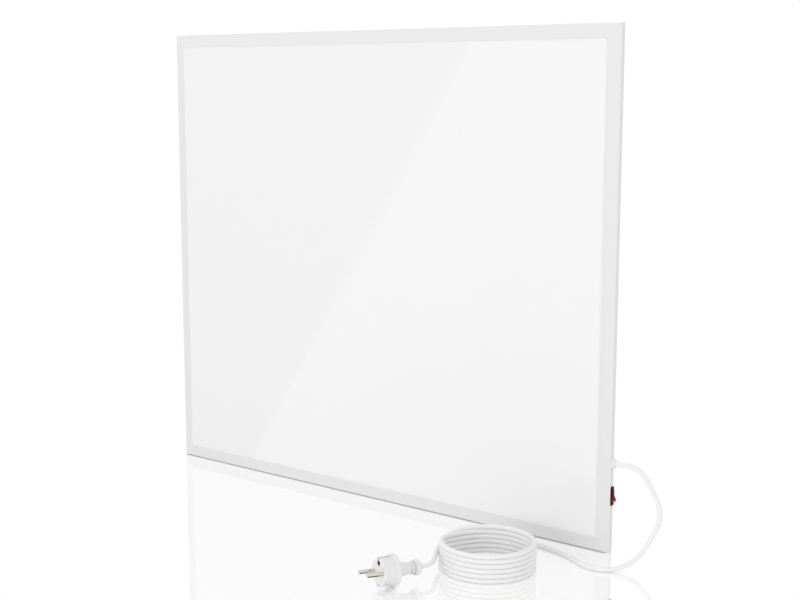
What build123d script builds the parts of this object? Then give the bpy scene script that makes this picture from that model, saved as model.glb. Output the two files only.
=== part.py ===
"""Flat infrared panel heater with a side rocker switch, a mains cord and an earthed plug.

Millimetres.  +X runs along the panel to the right, +Y back into its depth, +Z up.
The origin is the middle of the flat strip on which the bottom edge stands.
The letter d is a depth measured back from the front edge of the frame.
"""
from build123d import *
import math
import os

os.makedirs("parts", exist_ok=True)

# ---------------------------------------------------------------- driving dimensions
panel_width = 700.0
panel_height = 600.0

# frame: a roll-formed rim whose face curves forward to a narrow lip around the panel
frame_depth = 7.6
frame_wall = 1.2
frame_face = 16.5            # from the outer side to the inner edge of the lip
lip_land = 1.0
lip_wall = 1.4
lip_return_depth = 0.1
cove_rise = 3.3              # how far the lip stands forward of the outer edge
front_edge_radius = 0.8
back_edge_radius = 1.4
back_leg_width = 9.0

# how far a part stays from the hole or slot that holds it
fit_clearance = 0.05

# corner keys, screws and clips
key_thickness = 1.5
key_clearance = 0.3
key_leg = 34.0
key_width = 7.0
screw_inset = 6.0
corner_screw_pitch = 22.0    # from a corner to its two screws
clip_screws = 2              # per side, between the corner screws
screw_radius = 1.45
screw_hole_radius = 1.5
screw_head_radius = 2.8
screw_head_height = 1.8
screw_head_rounding = 0.8
screw_length = 3.8
recess_width = 0.8
recess_span = 3.2
recess_depth = 0.9
clip_width = 14.0
clip_sheet = 0.8
clip_foot_end = 16.0
clip_web_inset = 8.6

# front panel: a pressed pan behind the lip, with its heater and its heat insulation
pan_gap = 0.3
pan_sheet = 0.8
pan_set_back = 0.4           # the face lies this far behind the lip
pan_edge_radius = 0.6
pan_flange = 4.6
seal_thickness = 0.4
film_inset = 20.0
film_thickness = 0.4
busbar_width = 12.0
busbar_thickness = 0.3
busbar_margin = 2.0
foil_thickness = 0.1
insulation_inset = 23.5
solder_pad_radius = 2.5
solder_pad_height = 2.8
pad_window_radius = 4.0

# back cover: a pressed tray with a service opening behind its own small cover
cover_sheet = 0.6
cover_inset = 2.5
tray_inset = 22.0
tray_depth = 17.0
service_sheet = 0.8
service_lap = 10.0
service_corner = 3.0
service_margin_left = 16.5   # from the wiring bay's walls to the service opening
service_margin_right = 22.5
service_margin_bottom = 16.5
service_margin_top = 17.0

# wall brackets: hat sections with keyholes; the lower two reach down to the floor, behind the panel
bracket_side_inset = 170.0   # from the sides to the keyholes
bracket_inset = 150.0        # from the top and the bottom to the keyholes
bracket_top_width = 44.0
bracket_height = 34.0
bracket_foot = 12.0
bracket_sheet = 1.2
bracket_stand_off = 16.0
keyhole_entry_radius = 4.5
keyhole_slot_width = 4.6
keyhole_slot_rise = 11.0
rivet_radius = 2.0
rivet_head_radius = 3.6
rivet_head_height = 1.4

# wiring bay, measured from the right-hand side and from the bottom
bay_width = 105.0
bay_height = 111.5
bay_floor_depth = 1.0
wire_radius = 1.0
wire_bend_radius = 3.0
block_depth = 10.0
block_bottom = 80.0
block_height = 18.0
block_rounding = 1.0
block_margin = 5.0
pole_pitch = 10.0
pole_radius = 1.6
pole_set_in = 5.5            # from the service cover's seat to the axis of the poles
first_pole = 39.5            # from the bay's left wall
wire_insertion = 5.0
# cores: depth and height within the sheath, their first bend inward, back and up from the bush,
# their second bend back from the pole and up from the bush, and how far the last bend is above the bush
core_offsets = {"live": (1.2, -0.8), "neutral": (-1.2, -0.8), "earth": (0.0, 1.3)}
core_first_bend = {"live": (51.0, 1.2, -0.6), "neutral": (55.0, -1.2, 1.0), "earth": (50.0, 0.0, 4.0)}
core_second_bend = {"live": (-2.0, 4.5), "neutral": (-3.5, 10.5), "earth": (-3.5, 18.5)}
core_second_shift = 2.0
core_last_rise = {"live": -1.0, "neutral": 2.5, "earth": 8.5}
lead_tab_start = 4.5         # how far a lead starts behind the tab's end
terminal_screw_radius = 1.9
terminal_screw_inset = 4.5
terminal_slot_width = 0.6
terminal_slot_depth = 0.8
terminal_screw_recess = 0.6
live_pad_height = 92.0
neutral_pad_reach = 24.5     # from the bay's left wall
neutral_pad_rise = 4.0
neutral_bar_lap = 4.0
cutout_reach = 74.5          # the thermal cut-out, from the bay's left wall
cutout_height = 44.0
cutout_radius = 7.5
cutout_cap = 1.2             # above the bay's floor
cutout_body = 4.2
cutout_step = 1.0
cutout_tab_reach = 5.5
cutout_tab_width = 4.0
cutout_tab_low = 1.6
cutout_tab_high = 2.4
cutout_clearance = 0.8
earth_screw_radius = 1.95
earth_screw_length = 5.2
earth_head_radius = 3.6
earth_head_height = 2.2
earth_head_rounding = 0.9
earth_inset = 6.0            # from the bay's right wall
earth_height = 60.0
earth_nut_radius = 4.0
earth_nut_height = 3.2
ring_sheet = 0.8
ring_radius = 4.0
ring_tongue = 8.5
ring_tongue_width = 4.0
barrel_length = 6.0
barrel_radius = 1.75
barrel_drop = 1.8            # from the cover's inner face to the barrel's axis

# rocker switch on the right-hand side
switch_z = 67.5
switch_depth = 3.8
bezel_length = 22.2
bezel_width = 6.4
bezel_height = 1.2
bezel_edge_radius = 0.35
switch_body_length = 17.9
switch_body_width = 4.8
switch_body_depth = 11.5
switch_floor = 1.2
cavity_width = 4.0
cavity_length = 17.0
rocker_width = 3.6
rocker_half_length = 6.6
rocker_tilt = 13.0           # degrees either side of the middle
rocker_proud = 0.6           # how far the pressed half stands above the bezel
rocker_pivot_inset = 1.2
rocker_skirt = 1.2
rocker_shell = 0.6
rocker_pin_radius = 0.8
running_clearance = 0.05
stem_radius = 1.5
stem_reach = 4.2
stem_bore_radius = 1.1
plunger_radius = 0.95
plunger_reach = 6.2
bridge_gap = 0.12
bridge_thickness = 0.5
bridge_half_length = 5.5
bridge_width = 2.6
bridge_tilt = 7.0
contact_radius = 0.8
contact_height = 0.4
contact_offset = 4.7
tab_width = 3.0
tab_thickness = 0.5
tab_reach = 6.5
tab_pitch = 6.0
tab_tip = 1.0
tab_shoulder = 0.8
post_gap = 1.6
receptacle_stand_off = 2.0
receptacle_rounding = 0.8
receptacle_length = 9.0
receptacle_width = 4.4
receptacle_thickness = 3.0
lamp_radius = 0.9
lamp_length = 3.8
lamp_level = 0.9
lamp_rounding = 0.63
lamp_margin = 0.3
spring_wire_radius = 0.14
spring_height = 1.8
spring_turns = 4
spring_seat = 1.0

# cable bush and cord
cord_diameter = 5.5
bush_z = 106.0
bush_depth = 4.2
bush_head_width = 6.6
bush_head_length = 11.2
bush_head_height = 3.0
bush_head_rounding = 1.3
bush_neck_width = 6.5
bush_neck_length = 8.2
bush_neck_depth = 2.4
ferrule_wall = 0.4
ferrule_length = 2.5
ferrule_inset = 5.5
cord_inner_length = 34.0
core_clearance = 0.3

# coil of cord in front of the panel, and the plug beside it
coil_turns = 6
coil_mean_radius = 51.6
coil_centre = (266.0, -127.5)

plug_length = 50.0
plug_face_radius = 15.6
plug_flange_radius = 18.2
plug_flange_front = 15.0     # behind the face
plug_flange_back = 18.8
plug_root_radius = 12.6      # where the neck leaves the back of the flange
plug_middle_radius = 8.4     # half way along the neck
plug_neck_radius = 6.2
plug_groove_radius = 5.2
plug_rib_radius = 6.9
plug_ring_width = 1.6        # of each of the two grooves and of the rib between them
plug_bulb_radius = 8.8
plug_bulb_length = 7.6
plug_end_radius = 4.4
plug_heading = 247.0         # degrees in plan, from +X, the way the pins point
plug_pitch = 3.5             # degrees nose up, resting on the rim of its flange
plug_roll = 7.0
plug_rear = (232.0, -209.6)  # plan position of the end where the cord enters
pin_radius = 2.4
pin_length = 19.0
pin_pitch = 19.0
pin_embed = 8.0
pin_shank_radius = 1.8
pin_tip_radius = 1.4
earth_clip_width = 4.4
earth_clip_sheet = 0.6
earth_clip_length = 13.0
earth_clip_proud = 0.25
earth_groove_floor = 13.2
earth_groove_clearance = 0.6
earth_socket_radius = 2.45
earth_socket_offset = 10.0
earth_socket_depth = 14.0
earth_sleeve_wall = 0.45

# ---------------------------------------------------------------- values that follow
right = panel_width / 2
front_y = -(front_edge_radius + frame_depth - back_edge_radius) / 2
cove_width = frame_face - lip_land
cove_run = cove_width - front_edge_radius
cove_radius = (cove_run ** 2 + cove_rise ** 2) / (2 * cove_rise)
channel_depth = frame_depth - frame_wall
pan_inset = frame_face + pan_gap
pan_face_depth = pan_set_back - cove_rise
flange_front = lip_return_depth + seal_thickness
flange_back = flange_front + pan_sheet
flange_inset = pan_inset + pan_sheet - pan_flange
film_front = pan_face_depth + pan_sheet
busbar_front = film_front + film_thickness
foil_front = busbar_front + busbar_thickness
insulation_front = foil_front + foil_thickness
plate_back = tray_depth
plate_front = tray_depth - cover_sheet
cord_radius = cord_diameter / 2
coil_height = coil_turns * cord_diameter
bay_right = right - insulation_inset
bay_left = bay_right - bay_width
bay_bottom = insulation_inset
bay_top = bay_bottom + bay_height
service_left = bay_left + service_margin_left
service_right = bay_right - service_margin_right
service_bottom = bay_bottom + service_margin_bottom
service_top = bay_top - service_margin_top
pad_depth = busbar_front + busbar_thickness + solder_pad_height
strip = film_inset + busbar_margin
live_pad = (right - strip - busbar_width / 2, live_pad_height)
neutral_pad = (bay_left + neutral_pad_reach, strip + neutral_pad_rise + busbar_width / 2)
cutout_x = bay_left + cutout_reach
cutout_z = cutout_height
pivot_x = right - rocker_pivot_inset
pole_depth = plate_back - pole_set_in
block_top = block_bottom + block_height
pole_x = [bay_left + first_pole + k * pole_pitch for k in range(3)]
earth_x, neutral_x, live_x = pole_x
earth_spot = (bay_right - earth_inset, earth_height)


# ---------------------------------------------------------------- helpers
def depth(d):
    """Row-frame Y of a depth behind the front edge of the frame."""
    return front_y + d


def block(x0, x1, d0, d1, z0, z1):
    """A box between two corners."""
    return Pos((x0 + x1) / 2, depth((d0 + d1) / 2), (z0 + z1) / 2) * Box(x1 - x0, d1 - d0, z1 - z0)


def board(inset, d0, d1):
    """A sheet with the outline of the panel, taken in all round."""
    return block(-right + inset, right - inset, d0, d1, inset, panel_height - inset)


def border(outer, inner, d0, d1):
    """A flat rectangular ring between two insets."""
    return board(outer, d0, d1) - board(inner, d0 - 1, d1 + 1)


def rod(start, end, radius):
    """A cylinder from one point to another; the points are x, depth, z."""
    a = Vector(start[0], depth(start[1]), start[2])
    b = Vector(end[0], depth(end[1]), end[2])
    axis = b - a
    return Plane(origin=a, z_dir=axis) * Cylinder(radius, axis.length, align=(Align.CENTER, Align.CENTER, Align.MIN))


def wire(points):
    """A lead along straight runs with rounded bends; the points are x, depth, z."""
    path = [Vector(x, depth(d), z) for x, d, z in points]
    line = FilletPolyline(*path, radius=wire_bend_radius)
    return sweep(Plane(origin=path[0], z_dir=path[1] - path[0]) * Circle(wire_radius), path=line)


def write(name, shape):
    """One STEP file per sub-part, named after its node."""
    solids = shape.solids() if hasattr(shape, "solids") else [s for part in shape for s in part.solids()]
    export_step(solids[0] if len(solids) == 1 else Compound(children=list(solids)), f"parts/{name}.step")


# ---------------------------------------------------------------- frame
def frame_profile():
    """Section of the rim: u runs inward from the outer side, d runs back."""
    def under(u):
        return -cove_radius + math.sqrt((cove_radius + frame_wall) ** 2 - (u - front_edge_radius) ** 2)

    def over(u):
        return -cove_radius + math.sqrt(cove_radius ** 2 - (u - front_edge_radius) ** 2)

    half = 1 - math.sqrt(0.5)
    lip_inner = frame_face - lip_wall
    middle = (front_edge_radius + cove_width) / 2
    inner_middle = (frame_wall + lip_inner) / 2
    side_front = (0, front_edge_radius)
    face_start = (front_edge_radius, 0)
    side_back = (0, frame_depth - back_edge_radius)
    back_start = (back_edge_radius, frame_depth)
    back_mid = (back_edge_radius * half, frame_depth - back_edge_radius * half)
    outline = Curve() + [
        Line(side_back, side_front),
        ThreePointArc(side_front, (front_edge_radius * half, front_edge_radius * half), face_start),
        ThreePointArc(face_start, (middle, over(middle)), (cove_width, -cove_rise)),
        Line((cove_width, -cove_rise), (frame_face, -cove_rise)),
        Line((frame_face, -cove_rise), (frame_face, lip_return_depth)),
        Line((frame_face, lip_return_depth), (lip_inner, lip_return_depth)),
        Line((lip_inner, lip_return_depth), (lip_inner, under(lip_inner))),
        ThreePointArc((lip_inner, under(lip_inner)), (inner_middle, under(inner_middle)),
                      (frame_wall, under(frame_wall))),
        Line((frame_wall, under(frame_wall)), (frame_wall, channel_depth)),
        Line((frame_wall, channel_depth), (back_leg_width, channel_depth)),
        Line((back_leg_width, channel_depth), (back_leg_width, frame_depth)),
        Line((back_leg_width, frame_depth), back_start),
        ThreePointArc(back_start, back_mid, side_back),
    ]
    return make_face(outline)


def frame_bar(length, origin, inward):
    """One side of the rim, mitred at both ends; inward is the way u runs."""
    over = 2.0
    reach = frame_face + over
    bar = extrude(frame_profile(), length)
    plan = make_face(Polyline((-over, 0, -over), (reach, 0, reach), (reach, 0, length - reach),
                              (-over, 0, length + over), close=True))
    mitre = extrude(plan, frame_depth * 3, dir=(0, 1, 0), both=True)
    local = Plane(origin=origin, x_dir=inward, z_dir=Vector(*inward).cross(Vector(0, 1, 0)))
    return local.location * (bar & mitre)


def side_points():
    """Places along each side, as (x, z) pairs: those at the corners, and those between them."""
    corners, between = [], []
    x_corner = right - corner_screw_pitch
    z_corner = panel_height / 2 - corner_screw_pitch
    middle = panel_height / 2
    for sx in (-1, 1):
        for sz in (-1, 1):
            corners.append((sx * x_corner, middle + sz * (panel_height / 2 - screw_inset)))
            corners.append((sx * (right - screw_inset), middle + sz * z_corner))
    for side in (-1, 1):
        for k in range(clip_screws):
            share = (k + 1) / (clip_screws + 1) * 2 - 1
            between.append((share * right, middle + side * (panel_height / 2 - screw_inset)))
            between.append((side * (right - screw_inset), middle + share * panel_height / 2))
    return corners, between


def outer_edge(shape):
    """The round edge of a head that faces back."""
    return shape.edges().filter_by(GeomType.CIRCLE).sort_by(Axis.Y)[-1]


def pan_screw(x, z, seat):
    """A pan-head screw with a cross recess, put in from the back; seat is the depth under its head."""
    top = seat + screw_head_height
    head = fillet(outer_edge(rod((x, seat, z), (x, top, z), screw_head_radius)), screw_head_rounding)
    wide, narrow = recess_span / 2, recess_width / 2
    cross = block(x - wide, x + wide, top - recess_depth, top + recess_depth, z - narrow, z + narrow)
    cross += block(x - narrow, x + narrow, top - recess_depth, top + recess_depth, z - wide, z + wide)
    return head - cross + rod((x, seat - screw_length, z), (x, seat, z), screw_radius)


corner_spots, clip_spots = side_points()
screw_spots = corner_spots + clip_spots


def drill(shape, spots, radius, d0, d1):
    """Round holes through a sheet, front to back."""
    for x, z in spots:
        shape -= rod((x, d0, z), (x, d1, z), radius)
    return shape


back_leg_front = channel_depth - 0.5
bars = {
    "frame_bar_left": frame_bar(panel_height, (-right, front_y, 0), (1, 0, 0)),
    "frame_bar_right": frame_bar(panel_height, (right, front_y, panel_height), (-1, 0, 0)),
    "frame_bar_bottom": frame_bar(panel_width, (right, front_y, 0), (0, 0, 1)),
    "frame_bar_top": frame_bar(panel_width, (-right, front_y, panel_height), (0, 0, -1)),
}
switch_cut = block(right - 2 * frame_wall, right + 1, switch_depth - switch_body_width / 2 - fit_clearance,
                   switch_depth + switch_body_width / 2 + fit_clearance,
                   switch_z - switch_body_length / 2 - fit_clearance,
                   switch_z + switch_body_length / 2 + fit_clearance)
bush_cut = block(right - back_leg_width - 1, right + 1, bush_depth - bush_neck_width / 2 - fit_clearance,
                 frame_depth + 1, bush_z - bush_neck_length / 2 - fit_clearance,
                 bush_z + bush_neck_length / 2 + fit_clearance)
bars["frame_bar_right"] = bars["frame_bar_right"] - switch_cut - bush_cut
for name, bar in bars.items():
    box = bar.bounding_box()
    near = [(x, z) for x, z in screw_spots
            if box.min.X < x < box.max.X and box.min.Z < z < box.max.Z]
    write(name, drill(bar, near, screw_hole_radius, back_leg_front, frame_depth + 1))

keys = []
key_outer = frame_wall + key_clearance
key_plate = border(key_outer, key_outer + key_width, channel_depth - key_thickness, channel_depth)
for sx in (-1, 1):
    for sz in (0, 1):
        x0, x1 = sorted((sx * right, sx * (right - key_leg)))
        z0 = sz * (panel_height - key_leg)
        corner = key_plate & block(x0, x1, 0, frame_depth, z0, z0 + key_leg)
        near = [(x, z) for x, z in corner_spots if x0 < x < x1 and z0 < z < z0 + key_leg]
        keys.append(drill(corner, near, screw_hole_radius, 0, frame_depth))
write("corner_keys", keys)


# ---------------------------------------------------------------- front panel and heater
def front_panel():
    """The white radiating face: a shallow pan with an outward flange."""
    shell = board(pan_inset, pan_face_depth, flange_back)
    face = shell.faces().sort_by(Axis.Y)[0]
    shell = fillet(face.edges(), pan_edge_radius)
    shell -= board(pan_inset + pan_sheet, pan_face_depth + pan_sheet, flange_back + 1)
    return shell + border(flange_inset, pan_inset + pan_sheet / 2, flange_front, flange_back)


write("front_panel", front_panel())
write("panel_seal", border(flange_inset + 0.2, frame_face - 0.2, lip_return_depth, flange_front))


def panel_clip(x, z):
    """A folded strip that holds the flange of the pan against the seal."""
    on_upright = abs(x) > right - frame_face
    half = clip_width / 2
    tab_start = screw_inset - 3.0
    parts = [(tab_start, clip_web_inset + clip_sheet, channel_depth - clip_sheet, channel_depth),
             (clip_web_inset, clip_web_inset + clip_sheet, flange_back, channel_depth),
             (clip_web_inset, clip_foot_end, flange_back, flange_back + clip_sheet)]
    clip = None
    for u0, u1, d0, d1 in parts:
        if on_upright:
            x0, x1 = (-right + u0, -right + u1) if x < 0 else (right - u1, right - u0)
            piece = block(x0, x1, d0, d1, z - half, z + half)
        else:
            z0, z1 = (u0, u1) if z < panel_height / 2 else (panel_height - u1, panel_height - u0)
            piece = block(x - half, x + half, d0, d1, z0, z1)
        clip = piece if clip is None else clip + piece
    return drill(clip, [(x, z)], screw_hole_radius, channel_depth - 2 * clip_sheet, frame_depth)


write("panel_clips", [panel_clip(*spot) for spot in clip_spots])
write("heating_film", board(film_inset, film_front, busbar_front))

live_bar = block(right - strip - busbar_width, right - strip, busbar_front, foil_front,
                 strip + 2 * busbar_width, panel_height - strip)
neutral_bar = block(-right + strip, -right + strip + busbar_width, busbar_front, foil_front,
                    strip, panel_height - strip)
neutral_bar += block(-right + strip, neutral_pad[0] + neutral_bar_lap, busbar_front, foil_front,
                     neutral_pad[1] - busbar_width / 2, neutral_pad[1] + busbar_width / 2)
write("busbars", [live_bar, neutral_bar])
write("solder_pads", [rod((x, foil_front, z), (x, pad_depth, z), solder_pad_radius)
                      for x, z in (live_pad, neutral_pad)])

windows = [rod((x, film_front, z), (x, bay_floor_depth + 1, z), pad_window_radius)
           for x, z in (live_pad, neutral_pad)]
windows.append(rod((cutout_x, film_front, cutout_z), (cutout_x, bay_floor_depth + 1, cutout_z),
                   cutout_radius + cutout_clearance))
foil = board(insulation_inset, foil_front, insulation_front)
batt = board(insulation_inset, insulation_front, plate_front)
batt -= block(bay_left, bay_right, bay_floor_depth, plate_front + 1, bay_bottom, bay_top)
batt -= block(bay_right - 1, right, bush_depth - cord_radius - 0.3, plate_front + 1,
              bay_bottom, bay_top)
for window in windows:
    foil -= window
    batt -= window
write("reflector_foil", foil)
write("insulation_batt", batt)


# ---------------------------------------------------------------- back cover and brackets
def back_cover():
    """A pressed tray whose flange lies on the back legs of the frame."""
    tray = border(cover_inset, tray_inset + cover_sheet, frame_depth, frame_depth + cover_sheet)
    tray += board(tray_inset, frame_depth, plate_back)
    tray -= board(tray_inset + cover_sheet, frame_depth - 1, plate_front)
    tray -= block(service_left, service_right, plate_front - 1, plate_back + 1, service_bottom, service_top)
    tray = drill(tray, screw_spots, screw_hole_radius, frame_depth - 1, frame_depth + 2)
    tray = drill(tray, service_spots, screw_hole_radius, plate_front - 1, plate_back + 1)
    tray = drill(tray, rivet_spots, rivet_radius, plate_front - 1, plate_back + 1)
    return drill(tray, [earth_spot], earth_screw_radius + fit_clearance, plate_front - 1, plate_back + 1)


service_x = (service_left - service_lap / 2, service_right + service_lap / 2)
service_z = (service_bottom - service_lap / 2, service_top + service_lap / 2)
service_spots = [(x, z) for x in service_x for z in service_z]
bracket_spots = [(x, z) for x in (-right + bracket_side_inset, right - bracket_side_inset)
                 for z in (bracket_inset, panel_height - bracket_inset)]
rivet_offset = bracket_top_width / 2 + bracket_foot / 2


def bracket_ends(z):
    """Lower and upper end of a bracket whose keyhole is at a height z."""
    low = 0.0 if z < panel_height / 2 else z - bracket_height / 2
    return low, z + bracket_height / 2


def rivets_of(x, z):
    """The four rivets of one bracket, near the ends of what lies on the cover."""
    low, high = bracket_ends(z)
    rows = (max(low, tray_inset) + bracket_height / 4, high - bracket_height / 4)
    return [(x + side * rivet_offset, row) for side in (-1, 1) for row in rows]


rivet_spots = [spot for x, z in bracket_spots for spot in rivets_of(x, z)]


def wall_bracket(x, z):
    """A hat section with a keyhole: the wall screw's head goes in below and slides up."""
    top = plate_back + bracket_stand_off
    half = bracket_top_width / 2
    z0, z1 = bracket_ends(z)
    hat = block(x - half, x + half, plate_back, top, z0, z1)
    hat -= block(x - half + bracket_sheet, x + half - bracket_sheet, plate_back - 1, top - bracket_sheet,
                 z0 - 1, z1 + 1)
    foot_back = plate_back + bracket_sheet
    hat += block(x - half - bracket_foot, x - half + bracket_sheet, plate_back, foot_back, z0, z1)
    hat += block(x + half - bracket_sheet, x + half + bracket_foot, plate_back, foot_back, z0, z1)
    hat -= rod((x, top - 2 * bracket_sheet, z), (x, top + 1, z), keyhole_entry_radius)
    slot_half = keyhole_slot_width / 2
    hat -= block(x - slot_half, x + slot_half, top - 2 * bracket_sheet, top + 1, z, z + keyhole_slot_rise)
    hat -= rod((x, top - 2 * bracket_sheet, z + keyhole_slot_rise), (x, top + 1, z + keyhole_slot_rise), slot_half)
    return drill(hat, rivets_of(x, z), rivet_radius, plate_back - 1, plate_back + 2 * bracket_sheet)


def rivet(x, z):
    """A dome-head rivet through a bracket's foot and the back cover."""
    seat = plate_back + bracket_sheet
    head = rod((x, seat, z), (x, seat + rivet_head_height, z), rivet_head_radius)
    head = fillet(outer_edge(head), rivet_head_height * 0.8)
    return head + rod((x, plate_front, z), (x, seat, z), rivet_radius)


write("back_cover", back_cover())
write("rim_screws", [pan_screw(x, z, frame_depth + cover_sheet) for x, z in screw_spots])
write("wall_brackets", [wall_bracket(x, z) for x, z in bracket_spots])
write("bracket_rivets", [rivet(x, z) for x, z in rivet_spots])


def service_cover():
    """The small cover that carries the terminal block."""
    plate = block(service_left - service_lap, service_right + service_lap, plate_back,
                  plate_back + service_sheet, service_bottom - service_lap, service_top + service_lap)
    plate = fillet(plate.edges().filter_by(Axis.Y), service_corner)
    return drill(plate, service_spots, screw_hole_radius, plate_back - 1, plate_back + 2 * service_sheet)


write("service_cover", service_cover())
write("service_screws", [pan_screw(x, z, plate_back + service_sheet) for x, z in service_spots])

# ---------------------------------------------------------------- wiring bay
def terminal_block():
    """A three-pole block on the inside of the service cover."""
    body = block(pole_x[0] - block_margin, pole_x[-1] + block_margin, plate_back - block_depth, plate_back,
                 block_bottom, block_top)
    body = fillet(body.edges().filter_by(Axis.Z), block_rounding)
    for x in pole_x:
        body -= rod((x, pole_depth, block_bottom - 1), (x, pole_depth, block_top + 1), pole_radius)
    for x, z in terminal_screw_spots:
        body -= rod((x, plate_back - block_depth - 1, z), (x, pole_depth, z), terminal_screw_radius + fit_clearance)
    return body


def terminal_screw(x, z):
    """A slotted grub screw that clamps one core."""
    top = plate_back - block_depth + terminal_screw_recess
    screw = rod((x, top, z), (x, pole_depth - pole_radius, z), terminal_screw_radius)
    half = terminal_slot_width / 2
    return screw - block(x - block_margin, x + block_margin, top - 1, top + terminal_slot_depth, z - half, z + half)


terminal_screw_spots = [(x, z) for x in pole_x
                        for z in (block_bottom + terminal_screw_inset, block_top - terminal_screw_inset)]
write("terminal_block", terminal_block())
write("terminal_screws", [terminal_screw(x, z) for x, z in terminal_screw_spots])


def thermal_cutout():
    """A disc cut-out seated on the film, with a tab on each side."""
    step = bay_floor_depth + cutout_cap
    cap = rod((cutout_x, busbar_front, cutout_z), (cutout_x, step, cutout_z), cutout_radius)
    body = rod((cutout_x, step, cutout_z), (cutout_x, bay_floor_depth + cutout_body, cutout_z),
               cutout_radius - cutout_step)
    reach = cutout_radius + cutout_tab_reach
    tabs = block(cutout_x - reach, cutout_x + reach, bay_floor_depth + cutout_tab_low,
                 bay_floor_depth + cutout_tab_high, cutout_z - cutout_tab_width / 2, cutout_z + cutout_tab_width / 2)
    return cap + body + tabs


write("thermal_cutout", thermal_cutout())

ring_front = plate_front - ring_sheet
barrel_depth = plate_front - barrel_drop
barrel_right = earth_spot[0] - ring_tongue


def earth_ring():
    """A ring terminal under the earth nut, with its crimp barrel."""
    x, z = earth_spot
    ring = rod((x, ring_front, z), (x, plate_front, z), ring_radius)
    ring += block(barrel_right, x, ring_front, plate_front, z - ring_tongue_width / 2, z + ring_tongue_width / 2)
    ring -= rod((x, ring_front - 1, z), (x, plate_front + 1, z), earth_screw_radius + fit_clearance)
    barrel = rod((barrel_right - barrel_length, barrel_depth, z), (barrel_right, barrel_depth, z), barrel_radius)
    barrel -= rod((barrel_right - barrel_length - 1, barrel_depth, z), (barrel_right + 1, barrel_depth, z),
                  wire_radius + fit_clearance)
    return ring + barrel


def earth_screw():
    """The earth screw, put in from the back."""
    x, z = earth_spot
    top = plate_back + earth_head_height
    head = fillet(outer_edge(rod((x, plate_back, z), (x, top, z), earth_head_radius)), earth_head_rounding)
    head -= block(x - earth_head_radius, x + earth_head_radius, top - recess_depth, top + 1,
                  z - recess_width / 2, z + recess_width / 2)
    return head + rod((x, plate_front - earth_screw_length, z), (x, plate_back, z), earth_screw_radius)


def earth_nut():
    """The hexagon nut that clamps the ring terminal."""
    x, z = earth_spot
    seat = Plane(origin=(x, depth(ring_front - earth_nut_height), z), z_dir=(0, 1, 0))
    nut = extrude(seat * RegularPolygon(earth_nut_radius, 6), earth_nut_height)
    return nut - rod((x, ring_front - earth_nut_height - 1, z), (x, ring_front + 1, z),
                     earth_screw_radius + fit_clearance)


write("earth_ring", earth_ring())
write("earth_screw", earth_screw())
write("earth_nut", earth_nut())

# ---------------------------------------------------------------- cable bush and the cord inside
cord_end_x = right - cord_inner_length


def oblong(width, length, height, x):
    """An upright slot shape on the side of the frame, standing out along +X."""
    face = Plane(origin=(x, depth(bush_depth), bush_z), x_dir=(0, 1, 0), z_dir=(1, 0, 0))
    return extrude(face * SlotOverall(length, width, rotation=90), height)


def cable_bush():
    """The white snap-in bush with an oblong domed head."""
    head = oblong(bush_head_width, bush_head_length, bush_head_height, right)
    head = fillet(head.edges().sort_by(Axis.X)[-4:], bush_head_rounding)
    neck = oblong(bush_neck_width, bush_neck_length, bush_neck_depth, right - bush_neck_depth)
    bore = rod((right - 2 * bush_neck_depth, bush_depth, bush_z),
               (right + 2 * bush_head_height, bush_depth, bush_z), cord_radius + fit_clearance)
    return head + neck - bore


ferrule_outer = cord_radius + fit_clearance + ferrule_wall
ferrule_right = right - ferrule_inset
ferrule_span = [(ferrule_right - ferrule_length, bush_depth, bush_z), (ferrule_right, bush_depth, bush_z)]
write("cable_bush", cable_bush())
write("cord_ferrule", rod(*ferrule_span, ferrule_outer) - rod(*ferrule_span, cord_radius + fit_clearance))
write("cord_inner", rod((cord_end_x, bush_depth, bush_z), (right + bush_head_height, bush_depth, bush_z),
                        cord_radius))


def core_start(name):
    """Where a core leaves the end of the sheath."""
    dd, dz = core_offsets[name]
    return (cord_end_x - core_clearance, bush_depth + dd, bush_z + dz)


def core(name, x):
    """One core of the cord, from the sheath to the top of its pole in the terminal block."""
    in_by, back, up_by = core_first_bend[name]
    second_back, second_up = core_second_bend[name]
    return wire([core_start(name), (right - in_by, bush_depth + back, bush_z + up_by),
                 (x + core_second_shift, pole_depth + second_back, bush_z + second_up),
                 (x, pole_depth, bush_z + core_last_rise[name]), (x, pole_depth, block_top - wire_insertion)])


write("cord_cores", [core("live", live_x), core("neutral", neutral_x), core("earth", earth_x)])

tab_end = right - switch_body_depth - tab_reach
lead_x = tab_end - lead_tab_start
block_leads = block_bottom + wire_insertion
tab_levels = [switch_z - tab_pitch, switch_z, switch_z + tab_pitch]
over_pad = pad_depth + wire_radius
over_tab = bay_floor_depth + cutout_tab_high + wire_radius
cutout_lead = cutout_radius + 1.0
live_leads = [
    wire([(live_x, pole_depth, block_leads), (live_x, pole_depth, block_bottom - 8),
          (lead_x - 22.5, switch_depth, switch_z), (lead_x, switch_depth, switch_z)]),
    wire([(lead_x, switch_depth, tab_levels[2]), (lead_x - 7.5, switch_depth, tab_levels[2]),
          (lead_x - 12.5, switch_depth + 4.7, switch_z - 3), (lead_x - 13.5, over_tab, cutout_z + 5),
          (cutout_x + cutout_lead, over_tab, cutout_z)]),
    wire([(cutout_x - cutout_lead, over_tab, cutout_z), (cutout_x - cutout_lead - 8, over_tab, cutout_z + 5),
          (cutout_x - 10, over_pad + 0.4, cutout_z + 18), (live_pad[0] - 12, over_pad, live_pad[1] - 8),
          (live_pad[0], over_pad, live_pad[1])]),
]
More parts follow.
